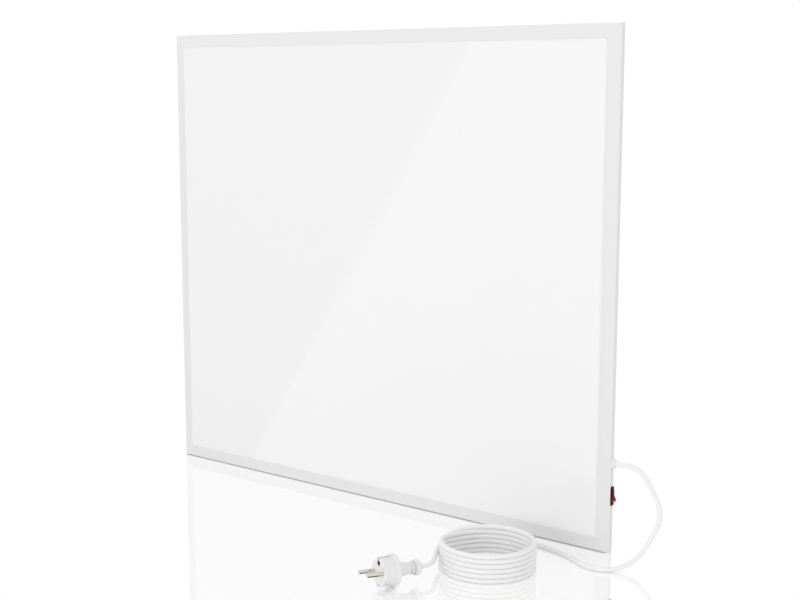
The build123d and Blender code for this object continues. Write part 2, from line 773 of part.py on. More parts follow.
neutral_leads = [
    wire([(neutral_x, pole_depth, block_leads), (neutral_x, pole_depth, neutral_pad[1] + 14),
          (neutral_pad[0] + 14, over_pad + 0.4, neutral_pad[1] + 2.4),
          (neutral_pad[0] + 2, over_pad, neutral_pad[1] + 1.6)]),
    wire([(lead_x, switch_depth, tab_levels[0]), (lead_x - 8.5, switch_depth, tab_levels[0]),
          (lead_x - 6, switch_depth, cutout_z - 4), (lead_x - 27.5, over_pad - 0.4, neutral_pad[1] - 2.5),
          (neutral_pad[0] - 1, over_pad, neutral_pad[1] - 1.4)]),
]
earth_lead = wire([(earth_x, pole_depth, block_leads), (earth_x, pole_depth, block_bottom - 4),
                   (earth_x + 8, barrel_depth - 0.6, earth_spot[1] + 3),
                   (barrel_right - 14, barrel_depth, earth_spot[1]),
                   (barrel_right - 1.5, barrel_depth, earth_spot[1])])
write("live_leads", live_leads)
write("neutral_leads", neutral_leads)
write("earth_lead", earth_lead)


# ---------------------------------------------------------------- rocker switch
def at_switch(s, t):
    """x and z of a point: s stands out from the rocker's pivot, t runs up from it."""
    return (pivot_x + s, switch_z + t)


def switch_housing():
    """Bezel and body in one moulding, open to the outside."""
    half = bezel_length / 2
    bezel = block(right, right + bezel_height, switch_depth - bezel_width / 2, switch_depth + bezel_width / 2,
                  switch_z - half, switch_z + half)
    bezel = fillet(bezel.faces().sort_by(Axis.X)[-1].edges(), bezel_edge_radius)
    body = block(right - switch_body_depth, right, switch_depth - switch_body_width / 2,
                 switch_depth + switch_body_width / 2, switch_z - switch_body_length / 2,
                 switch_z + switch_body_length / 2)
    cavity = block(right - switch_body_depth + switch_floor, right + 2 * bezel_height,
                   switch_depth - cavity_width / 2, switch_depth + cavity_width / 2,
                   switch_z - cavity_length / 2, switch_z + cavity_length / 2)
    housing = bezel + body - cavity
    housing -= rod((pivot_x, switch_depth - switch_body_width, switch_z),
                   (pivot_x, switch_depth + switch_body_width, switch_z), rocker_pin_radius + running_clearance)
    for z in tab_levels:
        housing -= tab_strip(z, right - switch_body_depth - 1, right - switch_body_depth + switch_floor + 1, 0.0)
    return housing


def tab_strip(z, x0, x1, slack):
    """A flat brass strip through the floor of the switch."""
    return block(x0, x1, switch_depth - tab_thickness / 2 - slack, switch_depth + tab_thickness / 2 + slack,
                 z - tab_width / 2 - slack, z + tab_width / 2 + slack)


rocker_crown = (bezel_height + rocker_pivot_inset + rocker_proud) / math.cos(math.radians(rocker_tilt))
rocker_end = rocker_crown + rocker_half_length * math.tan(math.radians(rocker_tilt))
rocker_radius = math.hypot(rocker_end, rocker_half_length)
skirt_t = math.sqrt(rocker_radius ** 2 - rocker_skirt ** 2)
plunger_tip = -plunger_reach
bridge_top = plunger_tip - bridge_gap
bridge_pivot = bridge_top - bridge_thickness / 2
pivot_line = Axis((pivot_x, 0, switch_z), (0, 1, 0))
bridge_line = Axis((pivot_x + bridge_pivot, 0, switch_z), (0, 1, 0))


def at_rest(shape, line, angle):
    """Turn a piece of the switch from its middle position to the way it stands."""
    return shape.rotate(line, angle)


def slab(profile, width):
    """Extrude an outline in the x-z plane about the middle plane of the switch."""
    face = make_face(profile)
    return extrude(face, width / 2, dir=(0, 1, 0), both=True)


def point(s, t):
    """A point of the switch's middle plane."""
    x, z = at_switch(s, t)
    return (x, depth(switch_depth), z)


def rocker():
    """The red translucent rocker: two flats that meet in the middle, hollow, with a stem below."""
    outline = Curve() + [
        Line(point(rocker_end, rocker_half_length), point(rocker_crown, 0)),
        Line(point(rocker_crown, 0), point(rocker_end, -rocker_half_length)),
        ThreePointArc(point(rocker_end, -rocker_half_length), point(0, -rocker_radius),
                      point(-rocker_skirt, -skirt_t)),
        Line(point(-rocker_skirt, -skirt_t), point(-rocker_skirt, skirt_t)),
        ThreePointArc(point(-rocker_skirt, skirt_t), point(0, rocker_radius),
                      point(rocker_end, rocker_half_length)),
    ]
    shape = slab(outline, rocker_width)
    hollow_top = rocker_crown - rocker_shell
    for side in (-1, 1):
        z0, z1 = sorted((side * (stem_radius + 0.1), side * (rocker_half_length - rocker_shell)))
        x0, x1 = pivot_x - rocker_skirt - 1, pivot_x + hollow_top
        shape -= block(x0, x1, switch_depth - rocker_width / 2 + rocker_shell,
                       switch_depth + rocker_width / 2 - rocker_shell, switch_z + z0, switch_z + z1)
    shape += rod((pivot_x - stem_reach, switch_depth, switch_z), (pivot_x, switch_depth, switch_z), stem_radius)
    shape -= rod((pivot_x - stem_reach - 1, switch_depth, switch_z), (pivot_x + 1.0, switch_depth, switch_z),
                 stem_bore_radius)
    reach = cavity_width / 2 + (switch_body_width - cavity_width) / 2 - running_clearance
    for side in (-1, 1):
        start = switch_depth + side * (rocker_width / 2 - 0.2)
        shape += rod((pivot_x, start, switch_z), (pivot_x, switch_depth + side * reach, switch_z), rocker_pin_radius)
    return at_rest(shape, pivot_line, -rocker_tilt)


def plunger():
    """The small domed plunger in the rocker's stem."""
    shape = rod((pivot_x + plunger_tip, switch_depth, switch_z), (pivot_x - rocker_skirt, switch_depth, switch_z),
                plunger_radius)
    shape = fillet(shape.edges().filter_by(GeomType.CIRCLE).sort_by(Axis.X)[0], plunger_radius * 0.8)
    return at_rest(shape, pivot_line, -rocker_tilt)


def plunger_spring():
    """The coil spring that presses the plunger on the bridge."""
    helix = Helix(spring_height / spring_turns, spring_height, plunger_radius - spring_wire_radius)
    section = Plane(origin=helix @ 0, z_dir=helix % 0) * Circle(spring_wire_radius)
    coil = sweep(section, path=helix)
    seat = Plane(origin=(pivot_x - spring_seat, depth(switch_depth), switch_z), z_dir=(1, 0, 0))
    return at_rest(seat.location * coil, pivot_line, -rocker_tilt)


def contact_bridge():
    """The see-saw strip that the plunger tips."""
    x, z = at_switch(bridge_pivot, 0)
    half = bridge_thickness / 2
    strip_box = block(x - half, x + half, switch_depth - bridge_width / 2, switch_depth + bridge_width / 2,
                      z - bridge_half_length, z + bridge_half_length)
    stud_z = z + contact_offset
    stud = rod((x - half - contact_height, switch_depth, stud_z), (x - half, switch_depth, stud_z), contact_radius)
    return at_rest(strip_box + stud, bridge_line, bridge_tilt)


def switch_terminals():
    """The three brass strips: the pivot post, the fixed contact and the lamp's own."""
    under = bridge_pivot - bridge_thickness / 2
    swing = contact_offset * math.sin(math.radians(bridge_tilt))
    lamp_tab, post, contact_tab = [pivot_x + s for s in (
        under - post_gap, under - bridge_gap, under - contact_height - swing - bridge_gap)]
    shoulder = post - tab_shoulder
    pivot_post = tab_strip(switch_z, tab_end, shoulder, 0.0)
    pivot_post += block(shoulder, post, switch_depth - tab_thickness / 2, switch_depth + tab_thickness / 2,
                        switch_z - tab_tip / 2, switch_z + tab_tip / 2)
    return [tab_strip(tab_levels[0], tab_end, lamp_tab, 0.0), pivot_post,
            tab_strip(tab_levels[2], tab_end, contact_tab, 0.0)]


def tab_receptacle(z):
    """A push-on receptacle in its sleeve."""
    x1 = right - switch_body_depth - receptacle_stand_off
    body = block(x1 - receptacle_length, x1, switch_depth - receptacle_thickness / 2,
                 switch_depth + receptacle_thickness / 2, z - receptacle_width / 2, z + receptacle_width / 2)
    body = fillet(body.edges().filter_by(Axis.X), receptacle_rounding)
    body -= tab_strip(z, tab_end - 0.1, x1 + 1, 0.02)
    return body - rod((x1 - receptacle_length - 1, switch_depth, z), (lead_x + 0.1, switch_depth, z),
                      wire_radius + fit_clearance)


def switch_lamp():
    """The small neon lamp inside the lower half of the rocker."""
    x, z0 = pivot_x + lamp_level, switch_z - rocker_half_length + rocker_shell + lamp_margin
    lamp = rod((x, switch_depth, z0), (x, switch_depth, z0 + lamp_length), lamp_radius)
    lamp = fillet(lamp.edges().filter_by(GeomType.CIRCLE), lamp_rounding)
    return at_rest(lamp, pivot_line, -rocker_tilt)


write("switch_housing", switch_housing())
write("switch_rocker", rocker())
write("switch_plunger", plunger())
write("plunger_spring", plunger_spring())
write("contact_bridge", contact_bridge())
write("switch_terminals", switch_terminals())
write("tab_receptacles", [tab_receptacle(z) for z in tab_levels])
write("switch_lamp", switch_lamp())

# ---------------------------------------------------------------- plug
heading = math.radians(plug_heading)
pitch = math.radians(plug_pitch)
plug_axis = Vector(math.cos(heading) * math.cos(pitch), math.sin(heading) * math.cos(pitch), math.sin(pitch))
rim_height = plug_flange_radius * math.cos(pitch)
plug_rear_z = rim_height - (plug_length - plug_flange_back) * math.sin(pitch)
plug_end = Vector(plug_rear[0], plug_rear[1], plug_rear_z)
plug_face = plug_end + plug_axis * plug_length
plug_plane = Plane(origin=plug_face, x_dir=Vector(-math.sin(heading), math.cos(heading), 0), z_dir=plug_axis)
plug_frame = plug_plane.location * Rot(0, 0, plug_roll)


def plug_body():
    """The moulded plug, turned about its axis: face, flange, neck, two grooves and a bulb at the end."""
    f, r = plug_face_radius, plug_flange_radius
    front, back, end = plug_flange_front, plug_flange_back, plug_length
    bulb = end - plug_bulb_length
    rings = [bulb - k * plug_ring_width for k in (3, 2, 1)]
    root, middle = (plug_root_radius, 0, -back - 1.2), (plug_middle_radius, 0, -(back + rings[0]) / 2)
    neck = (plug_neck_radius, 0, -rings[0])
    shoulder, crown = plug_bulb_radius - 0.9, plug_bulb_radius
    turned = Curve() + [
        Line((0, 0, 0), (f - 1, 0, 0)),
        Line((f - 1, 0, 0), (f, 0, -1)),
        Line((f, 0, -1), (f + 0.2, 0, -front)),
        Line((f + 0.2, 0, -front), (r - 0.7, 0, -front)),
        Line((r - 0.7, 0, -front), (r, 0, -front - 0.7)),
        Line((r, 0, -front - 0.7), (r, 0, -back + 0.7)),
        Line((r, 0, -back + 0.7), (r - 0.9, 0, -back)),
        Line((r - 0.9, 0, -back), root),
        ThreePointArc(root, middle, neck),
        Line(neck, (plug_groove_radius, 0, -rings[0])),
        Line((plug_groove_radius, 0, -rings[0]), (plug_groove_radius, 0, -rings[1])),
        Line((plug_groove_radius, 0, -rings[1]), (plug_rib_radius, 0, -rings[1])),
        Line((plug_rib_radius, 0, -rings[1]), (plug_rib_radius, 0, -rings[2])),
        Line((plug_rib_radius, 0, -rings[2]), (plug_groove_radius, 0, -rings[2])),
        Line((plug_groove_radius, 0, -rings[2]), (plug_groove_radius, 0, -bulb)),
        Line((plug_groove_radius, 0, -bulb), (shoulder, 0, -bulb)),
        ThreePointArc((shoulder, 0, -bulb), (crown, 0, -bulb - 3), (shoulder, 0, -end + 1.6)),
        ThreePointArc((shoulder, 0, -end + 1.6), (crown - 1.9, 0, -end + 0.5), (plug_end_radius, 0, -end)),
        Line((plug_end_radius, 0, -end), (0, 0, -end)),
        Line((0, 0, -end), (0, 0, 0)),
    ]
    body = revolve(make_face(turned), Axis.Z)
    for side in (-1, 1):
        body -= Pos(side * pin_pitch / 2, 0, -pin_embed) * Cylinder(pin_shank_radius, pin_embed + 1, align=up)
        groove_middle = side * (earth_groove_floor + plug_face_radius) / 2 + side
        groove_height = plug_face_radius - earth_groove_floor + 2
        body -= Pos(0, groove_middle, 0) * Box(earth_clip_width + 2 * earth_groove_clearance, groove_height,
                                               2 * (earth_clip_length + earth_groove_clearance))
    body -= Pos(0, earth_socket_offset, -earth_socket_depth) * Cylinder(
        earth_socket_radius + earth_sleeve_wall, earth_socket_depth + 1, align=up)
    return body


up = (Align.CENTER, Align.CENTER, Align.MIN)


def plug_pin(side):
    """One round pin, domed at its tip."""
    pin = Pos(side * pin_pitch / 2, 0, 0) * Cylinder(pin_radius, pin_length, align=up)
    pin = fillet(pin.edges().filter_by(GeomType.CIRCLE).sort_by(Axis.Z)[-1], pin_tip_radius)
    return pin + Pos(side * pin_pitch / 2, 0, -pin_embed) * Cylinder(pin_shank_radius, pin_embed, align=up)


def earth_clip(side):
    """A folded earth contact in its groove on the side of the plug."""
    outer = plug_face_radius + earth_clip_proud
    fold_at = -earth_groove_clearance - earth_clip_sheet / 2
    middle = fold_at - earth_clip_length / 2
    base = Pos(0, side * (earth_groove_floor + earth_clip_sheet / 2), middle) * Box(
        earth_clip_width, earth_clip_sheet, earth_clip_length - earth_clip_sheet)
    tongue = Pos(0, side * (outer - earth_clip_sheet / 2), middle / 2 + fold_at / 2) * Box(
        earth_clip_width, earth_clip_sheet, earth_clip_length / 2)
    fold = Pos(0, side * (earth_groove_floor + outer) / 2, fold_at) * Box(
        earth_clip_width, outer - earth_groove_floor, earth_clip_sheet)
    return base + tongue + fold


def earth_sleeve():
    """The female earth contact in the face of the plug."""
    sleeve = Pos(0, earth_socket_offset, -earth_socket_depth) * Cylinder(
        earth_socket_radius + earth_sleeve_wall - 0.02, earth_socket_depth - 0.6, align=up)
    bore = Pos(0, earth_socket_offset, -earth_socket_depth + 1) * Cylinder(
        earth_socket_radius, earth_socket_depth + 2, align=up)
    return sleeve - bore


write("plug_body", plug_frame * plug_body())
write("plug_pins", [plug_frame * plug_pin(side) for side in (-1, 1)])
write("plug_earth_clips", [plug_frame * earth_clip(side) for side in (-1, 1)])
write("plug_earth_sleeve", plug_frame * earth_sleeve())

# ---------------------------------------------------------------- cord
# Route points in the row frame, from the bush down to the floor and round behind the coil ...
drop_route = [
    (right + bush_head_height, depth(bush_depth), bush_z), (363.5, depth(bush_depth), bush_z), (378.3, -3.7, 108.6),
    (393.4, -8.7, 103.1), (409.4, -11.3, 84.8), (422.8, -16.3, 62.1), (416.5, -26.6, 39), (404.4, -36.5, 13.7),
    (387.5, -53.3, cord_radius), (371.3, -63.7, cord_radius), (352, -63, cord_radius), (329.8, -50.3, cord_radius),
    (301, -40.1, cord_radius), (268, -34.5, cord_radius), (238, -43.5, cord_radius), (219.5, -71.5, cord_radius),
    (215.5, -103, cord_radius), (214.3, -124.5, cord_radius),
]
# ... and from the top turn, down the outside of the coil, to the plug.
tail_bend = plug_end - plug_axis * 13
tail_route = [
    (230.5, -90.5, coil_height - cord_radius), (213.4, -106.4, 28.6), (205.3, -125.3, 22.1), (210.3, -145.1, 15.6),
    (222.1, -166, 15.6), (235.6, -184.2, 15.5), (tail_bend.X, tail_bend.Y, tail_bend.Z),
    (plug_end.X, plug_end.Y, plug_end.Z),
]


def corner_radii(points):
    """The arc at each corner: 0.45 of the shorter run over the tangent of half the turn."""
    radii = []
    for a, b, c in zip(points, points[1:], points[2:]):
        before, after = Vector(*b) - Vector(*a), Vector(*c) - Vector(*b)
        half_turn = math.radians(before.get_angle(after)) / 2
        radii.append(0.45 * min(before.length, after.length) / math.tan(half_turn))
    return radii


def cord_tube(name, points):
    """A round cord along straight runs joined by tangent arcs."""
    radii = corner_radii(points)
    line = FilletPolyline(*[Vector(*p) for p in points], radius=radii)
    start = Plane(origin=Vector(*points[0]), z_dir=Vector(*points[1]) - Vector(*points[0]))
    tube = sweep(start * Circle(cord_radius), path=line)
    expected = math.pi * cord_radius ** 2 * line.length
    print(f"{name}: length {line.length:.1f}, radii {[round(r, 1) for r in radii]}, "
          f"volume over section times length {tube.volume / expected:.4f}")
    write(name, tube)


def cord_coil():
    """The outer shape of the coil: a ring as high as its turns."""
    ring = Pos(*coil_centre, 0) * (
        Cylinder(coil_mean_radius + cord_radius, coil_height, align=up)
        - Cylinder(coil_mean_radius - cord_radius, coil_height, align=up))
    return fillet(ring.edges().filter_by(GeomType.CIRCLE), cord_radius * 0.8)


cord_tube("cord_drop", drop_route)
cord_tube("cord_tail", tail_route)
write("cord_coil", cord_coil())
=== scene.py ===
# %% [markdown]
# # An infrared panel heater, built piece by piece
#
# The heater is a flat white panel in a slim steel frame. It stands on its edge on a glossy white floor,
# with its cord coiled in front of it. The exact solids come from a CAD model, which this lesson loads as a
# fixed frame. Our work here is what the eye sees: soft edges, enamel, powder coat, moulded plastic and a cord
# that lies as a real one does.

# %% Load the solids
import math

import bmesh
import bpy
import numpy as np
from mathutils import Matrix, Vector


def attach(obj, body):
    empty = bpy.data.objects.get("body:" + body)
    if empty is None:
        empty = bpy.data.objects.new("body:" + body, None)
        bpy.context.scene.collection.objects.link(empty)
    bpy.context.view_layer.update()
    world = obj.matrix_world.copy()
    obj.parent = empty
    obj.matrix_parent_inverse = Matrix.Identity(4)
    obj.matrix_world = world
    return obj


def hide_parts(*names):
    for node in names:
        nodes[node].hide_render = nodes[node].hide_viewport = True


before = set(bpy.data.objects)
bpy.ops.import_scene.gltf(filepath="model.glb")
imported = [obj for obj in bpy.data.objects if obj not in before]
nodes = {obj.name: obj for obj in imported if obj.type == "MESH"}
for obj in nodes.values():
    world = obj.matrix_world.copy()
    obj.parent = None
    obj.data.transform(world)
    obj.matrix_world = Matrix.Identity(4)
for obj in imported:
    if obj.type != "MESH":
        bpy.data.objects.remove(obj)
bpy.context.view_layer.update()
MM = 0.001

# %% [markdown]
# ## From numbers to a mesh
#
# Nearly every piece here is a grid of points: rows run one way over the surface and columns the other way.
# Neighbouring points make four-sided faces. Each grid closes on itself, as a tube does, and its two ends are
# capped. The same helper serves a lathe shape, a swept bar and a pressed sheet, so we write it once.

# %% Grids, caps and meshes
SHARP = 32.0                 # degrees between two faces from which their edge is drawn sharp


def grid_faces(rows, columns, first):
    """Face k joins points (i, j), (i, j+1), (i+1, j+1), (i+1, j). Columns run round, and a face caps each end."""
    i, j = np.meshgrid(np.arange(rows - 1), np.arange(columns), indexing="ij")
    a, b = i * columns + j, i * columns + (j + 1) % columns
    faces = (np.stack([a, b, b + columns, a + columns], -1).reshape(-1, 4) + first).tolist()
    ring = np.arange(columns)
    return faces + [(ring[::-1] + first).tolist(), (ring + first + (rows - 1) * columns).tolist()]


def closed_mesh(name, grids):
    """One mesh of several grids of shape (rows, columns, 3), with doubled points merged and faces outwards."""
    points, faces, first = [], [], 0
    for grid in grids:
        faces += grid_faces(grid.shape[0], grid.shape[1], first)
        points.append(grid.reshape(-1, 3))
        first += len(points[-1])
    mesh = bpy.data.meshes.new(name)
    mesh.from_pydata(np.concatenate(points).tolist(), [], faces)
    solid = bmesh.new()
    solid.from_mesh(mesh)
    bmesh.ops.remove_doubles(solid, verts=solid.verts, dist=1e-6)
    bmesh.ops.recalc_face_normals(solid, faces=solid.faces)
    solid.to_mesh(mesh)
    solid.free()
    return mesh


def in_scene(name, data):
    """An object at the origin, unturned, that shows this mesh or curve."""
    thing = bpy.data.objects.new(name, data)
    bpy.context.scene.collection.objects.link(thing)
    return thing


def piece(name, grids, finish, stands_for, body="panel", sharp=SHARP):
    """Makes one object of grids, on its body, in place of the solids that it stands for."""
    mesh = closed_mesh(name, grids)
    mesh.shade_smooth()
    mesh.set_sharp_from_angle(angle=math.radians(sharp))
    mesh.materials.append(finish)
    thing = in_scene(name, mesh)
    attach(thing, body)
    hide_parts(*stands_for)
    print(f"{name}: {len(mesh.polygons)} faces")
    return thing


# %% [markdown]
# ## Soft corners
#
# No sheet is bent to a perfectly sharp corner, and no moulding has one. Light catches on the small rounding, and
# that thin bright line is what tells the eye "this is metal" or "this is plastic". So outlines are drawn with
# sharp corners first, and then each corner is swapped for a small curve.

# %% Rounding an outline
def soften(corners, radius, steps=6, closed=True):
    """Swaps each corner p for the curve p + a*c*(1-t)^2 + b*c*t^2, where a and b point to its neighbours and
    c = r / tan(half the angle there), at most 0.49 of the shorter side."""
    p = np.asarray(corners, float)
    back, on = np.roll(p, 1, 0) - p, np.roll(p, -1, 0) - p
    back_length, on_length = np.linalg.norm(back, axis=1), np.linalg.norm(on, axis=1)
    back, on = back / back_length[:, None], on / on_length[:, None]
    half = np.arccos(np.clip((back * on).sum(1), -1, 1)) / 2
    cut = np.minimum(np.broadcast_to(radius, len(p)) / np.tan(half), 0.49 * np.minimum(back_length, on_length))
    t = np.linspace(0, 1, steps)[None, :, None]
    curve = p[:, None] + cut[:, None, None] * (back[:, None] * (1 - t) ** 2 + on[:, None] * t ** 2)
    if not closed:
        curve[0], curve[-1] = p[0], p[-1]
    return curve.reshape(-1, p.shape[1])


CORNER_POINTS = 7


def rounded_rectangle(half_a, half_b, corner):
    """Points round a rectangle whose corners are quarter circles of that radius, from centre to arc:
    (a, b) = (half - corner) * sign + corner * (cos, sin)."""
    angle = (np.arange(4)[:, None] * 90 + np.linspace(0, 90, CORNER_POINTS)[None]).ravel() * math.pi / 180
    sign_a = np.repeat([1, -1, -1, 1], CORNER_POINTS)
    sign_b = np.repeat([1, 1, -1, -1], CORNER_POINTS)
    return np.stack([(half_a - corner) * sign_a + corner * np.cos(angle),
                     (half_b - corner) * sign_b + corner * np.sin(angle)], -1)


def stacked(levels, place):
    """Rows of rounded rectangles. Each level is (half a, half b, corner, height); place turns (a, b, height)
    into a point."""
    rows = [np.column_stack([rounded_rectangle(a, b, r), np.full(4 * CORNER_POINTS, h)]) for a, b, r, h in levels]
    return place(np.array(rows))


square = soften([(0, 0), (1, 0), (1, 1), (0, 1)], 0.1)
print("a square of 4 corners has", len(square), "points once it is softened")

# %% [markdown]
# ## Colours and nodes
#
# Colours are written as sRGB hex values, the way a paint chart gives them. Blender's shaders want linear values,
# so one function turns them. A second small function adds a node, sets it and links it, which keeps each
# material down to a few readable lines.

# %% Colour and node helpers
def linear(code):
    """Below 0.04045 the value over 12.92, else ((value + 0.055) / 1.055) ** 2.4."""
    value = np.array([int(code[i:i + 2], 16) for i in (1, 3, 5)]) / 255
    return (*np.where(value <= 0.04045, value / 12.92, ((value + 0.055) / 1.055) ** 2.4), 1.0)


def add(tree, kind, settings=None, links=None):
    """Adds one node: settings name sockets or properties, links name sockets and the outputs that feed them."""
    node = tree.nodes.new("ShaderNode" + kind)
    for key, value in (settings or {}).items():
        if isinstance(key, int) or key in node.inputs:
            node.inputs[key].default_value = value
        else:
            setattr(node, key, value)
    for key, source in (links or {}).items():
        tree.links.new(source, node.inputs[key])
    return node


def new_finish(name, colour, **sockets):
    """A material with a Principled shader; the sockets are its own, with _ for a space."""
    finish = bpy.data.materials.new(name)
    finish.use_nodes = True
    shader = finish.node_tree.nodes["Principled BSDF"]
    shader.inputs["Base Color"].default_value = linear(colour)
    for key, value in sockets.items():
        shader.inputs[key.replace("_", " ")].default_value = value
    return finish, finish.node_tree, shader


print("mid grey #808080 is", round(linear("#808080")[0], 3), "in linear light")

# %% [markdown]
# ## Two families of finish
#
# Most pieces of the heater are either moulded plastic or plated metal. A moulding takes the skin of its mould,
# which was roughened by sparks, and its colour is never fully even. A plated sheet has cloudy patches where the
# bath was a little thicker, and those patches differ more in gloss than in colour. One function for each family
# keeps the later cells short, and each piece still gets its own colours and its own sizes. A photo texture could
# do it too, but noise on Object coordinates has a true size in millimetres and needs no file.

# %% Moulded plastic and plated metal
def moulded(name, light, dark, grain, relief, **sockets):
    """Two close tones in clouds ten grains wide, and noise of one grain as bump of that relief."""
    finish, tree, shader = new_finish(name, light, **sockets)
    where = add(tree, "TexCoord")
    cloud = add(tree, "TexNoise", {"Scale": 0.1 / grain, "Detail": 2.0}, {"Vector": where.outputs["Object"]})
    tone = add(tree, "Mix", {"data_type": "RGBA", 6: linear(light), 7: linear(dark)}, {0: cloud.outputs["Fac"]})
    spark = add(tree, "TexNoise", {"Scale": 1 / grain, "Detail": 3.0}, {"Vector": where.outputs["Object"]})
    skin = add(tree, "Bump", {"Strength": 0.5, "Distance": relief}, {"Height": spark.outputs["Fac"]})
    tree.links.new(tone.outputs[2], shader.inputs["Base Color"])
    tree.links.new(skin.outputs["Normal"], shader.inputs["Normal"])
    return finish


def plated(name, light, dark, smooth, rough, cloud_size, relief):
    """Clouds of one size run the colour from light to dark and the roughness from smooth to rough together."""
    finish, tree, shader = new_finish(name, light, Metallic=1.0)
    where = add(tree, "TexCoord")
    cloud = add(tree, "TexNoise", {"Scale": 1 / cloud_size, "Detail": 3.0}, {"Vector": where.outputs["Object"]})
    tone = add(tree, "Mix", {"data_type": "RGBA", 6: linear(light), 7: linear(dark)}, {0: cloud.outputs["Fac"]})
    gloss = add(tree, "MapRange", {"To Min": smooth, "To Max": rough}, {"Value": cloud.outputs["Fac"]})
    fine = add(tree, "TexNoise", {"Scale": 8 / cloud_size, "Detail": 2.0}, {"Vector": where.outputs["Object"]})
    skin = add(tree, "Bump", {"Strength": 0.4, "Distance": relief}, {"Height": fine.outputs["Fac"]})
    tree.links.new(tone.outputs[2], shader.inputs["Base Color"])
    tree.links.new(gloss.outputs["Result"], shader.inputs["Roughness"])
    tree.links.new(skin.outputs["Normal"], shader.inputs["Normal"])
    return finish


def dress(finish, *names):
    """Puts a finish on solids that keep their CAD shape."""
    for name in names:
        for slot in nodes[name].material_slots:
            slot.material = finish
    print(finish.name, "on", ", ".join(names))


# %% [markdown]
# ## Powder coat on the frame
#
# The frame is roll-formed steel with a white polyester powder coat. The powder melts into a film that is smooth
# but never quite flat: it keeps a faint orange-peel swell a few millimetres wide, and a fine tooth that spreads
# highlights. So the surface is a satin plastic with two small bumps, one for the swell and one for the tooth.

# %% Powder coat
powder_coat, tree, shader = new_finish("white_polyester_powder_coat", "#e6e6e7", Roughness=0.36, IOR=1.5)
where = add(tree, "TexCoord")
swell = add(tree, "TexNoise", {"Scale": 1 / (3.0 * MM), "Detail": 2.0}, {"Vector": where.outputs["Object"]})
tooth = add(tree, "TexNoise", {"Scale": 1 / (0.5 * MM), "Detail": 1.0}, {"Vector": where.outputs["Object"]})
fine = add(tree, "Bump", {"Strength": 0.10, "Distance": 0.02 * MM}, {"Height": tooth.outputs["Fac"]})
coarse = add(tree, "Bump", {"Strength": 0.35, "Distance": 0.05 * MM},
             {"Height": swell.outputs["Fac"], "Normal": fine.outputs["Normal"]})
tree.links.new(coarse.outputs["Normal"], shader.inputs["Normal"])
print(powder_coat.name, "with a swell of 3 mm and a tooth of 0.5 mm")

# %% [markdown]
# ## Enamel on the radiating plate
#
# The plate is steel with a baked gloss enamel. It mirrors the room: in daylight one sees a soft edge run across
# it where the room changes from bright to less bright. A real plate also isn't optically flat, so the mirror
# image bends a little. A very wide, very low bump gives that.

# %% Gloss enamel
enamel, tree, shader = new_finish("white_gloss_enamel", "#f1f1f2", Roughness=0.03, IOR=1.5)
where = add(tree, "TexCoord")
wave = add(tree, "TexNoise", {"Scale": 1 / (140 * MM), "Detail": 1.0}, {"Vector": where.outputs["Object"]})
peel = add(tree, "TexNoise", {"Scale": 1 / (2.5 * MM), "Detail": 2.0}, {"Vector": where.outputs["Object"]})
small = add(tree, "Bump", {"Strength": 0.12, "Distance": 0.01 * MM}, {"Height": peel.outputs["Fac"]})
wide = add(tree, "Bump", {"Strength": 0.25, "Distance": 0.3 * MM},
           {"Height": wave.outputs["Fac"], "Normal": small.outputs["Normal"]})
tree.links.new(wide.outputs["Normal"], shader.inputs["Normal"])
print(enamel.name, "with a wave of 140 mm and a peel of 2.5 mm")

# %% [markdown]
# ## The frame
#
# Each side of the frame is one rolled section, cut at 45 degrees at both ends. Its face is a shallow cove: it
# starts low at the outer edge and sweeps forward to a narrow lip round the plate. The section is drawn once, as
# distance in from the outer side (u) and depth behind the front edge (d), and then carried along each side. The
# mitre comes by itself: a point that lies u in from the side also starts u in from the corner. A curve with a
# bevel object would sweep the same section, but it shears the section at the corners.

# %% The rolled section
WIDTH, HEIGHT = 700 * MM, 600 * MM
FRONT = -3.5 * MM            # where the front edge of the frame lies along Y
FACE, DEPTH = 16.5 * MM, 7.6 * MM            # from the outer side to the lip's inner edge, and front to back
WALL, LIP_WALL, LAND = 1.2 * MM, 1.4 * MM, 1.0 * MM          # the sheet, the lip, and the flat on the lip
RISE, LIP_BACK = 3.3 * MM, 0.1 * MM          # how far the lip stands forward, and how deep its return goes
EDGE, BACK_EDGE, BACK_LEG = 0.8 * MM, 1.4 * MM, 9 * MM       # roundings of the outer edges, and the back leg
cove_run = FACE - LAND - EDGE
cove_radius = (cove_run ** 2 + RISE ** 2) / (2 * RISE)


def cove(u, outset=0.0):
    """A circle about (edge, -R): d = -R + sqrt((R + outset)^2 - (u - edge)^2)."""
    return -cove_radius + np.sqrt((cove_radius + outset) ** 2 - (u - EDGE) ** 2)


def frame_section():
    """The closed outline (u, d): side, front edge, cove, lip, the same cove from behind, and the back leg."""
    quarter = np.linspace(0, math.pi / 2, 7)
    front_edge = np.stack([EDGE * (1 - np.cos(quarter)), EDGE * (1 - np.sin(quarter))], -1)
    u = np.linspace(EDGE, FACE - LAND, 26)[1:-1]
    face = np.stack([u, cove(u)], -1)
    lip = soften([(FACE - LAND, -RISE), (FACE, -RISE), (FACE, LIP_BACK), (FACE - LIP_WALL, LIP_BACK)],
                 [0.2 * MM, 0.1 * MM, 0.1 * MM, 0.05 * MM], 5, closed=False)
    u = np.linspace(FACE - LIP_WALL, WALL, 18)
    inside = np.stack([u, cove(u, WALL)], -1)
    channel = DEPTH - WALL
    leg = [(WALL, channel), (BACK_LEG, channel), (BACK_LEG, DEPTH)]
    back_edge = np.stack([BACK_EDGE * (1 - np.sin(quarter)), DEPTH - BACK_EDGE * (1 - np.cos(quarter))], -1)
    return np.concatenate([front_edge, face, lip[5:], inside, leg, back_edge])


section = frame_section()
print("cove radius in mm:", round(cove_radius / MM, 2), "points in the section:", len(section))

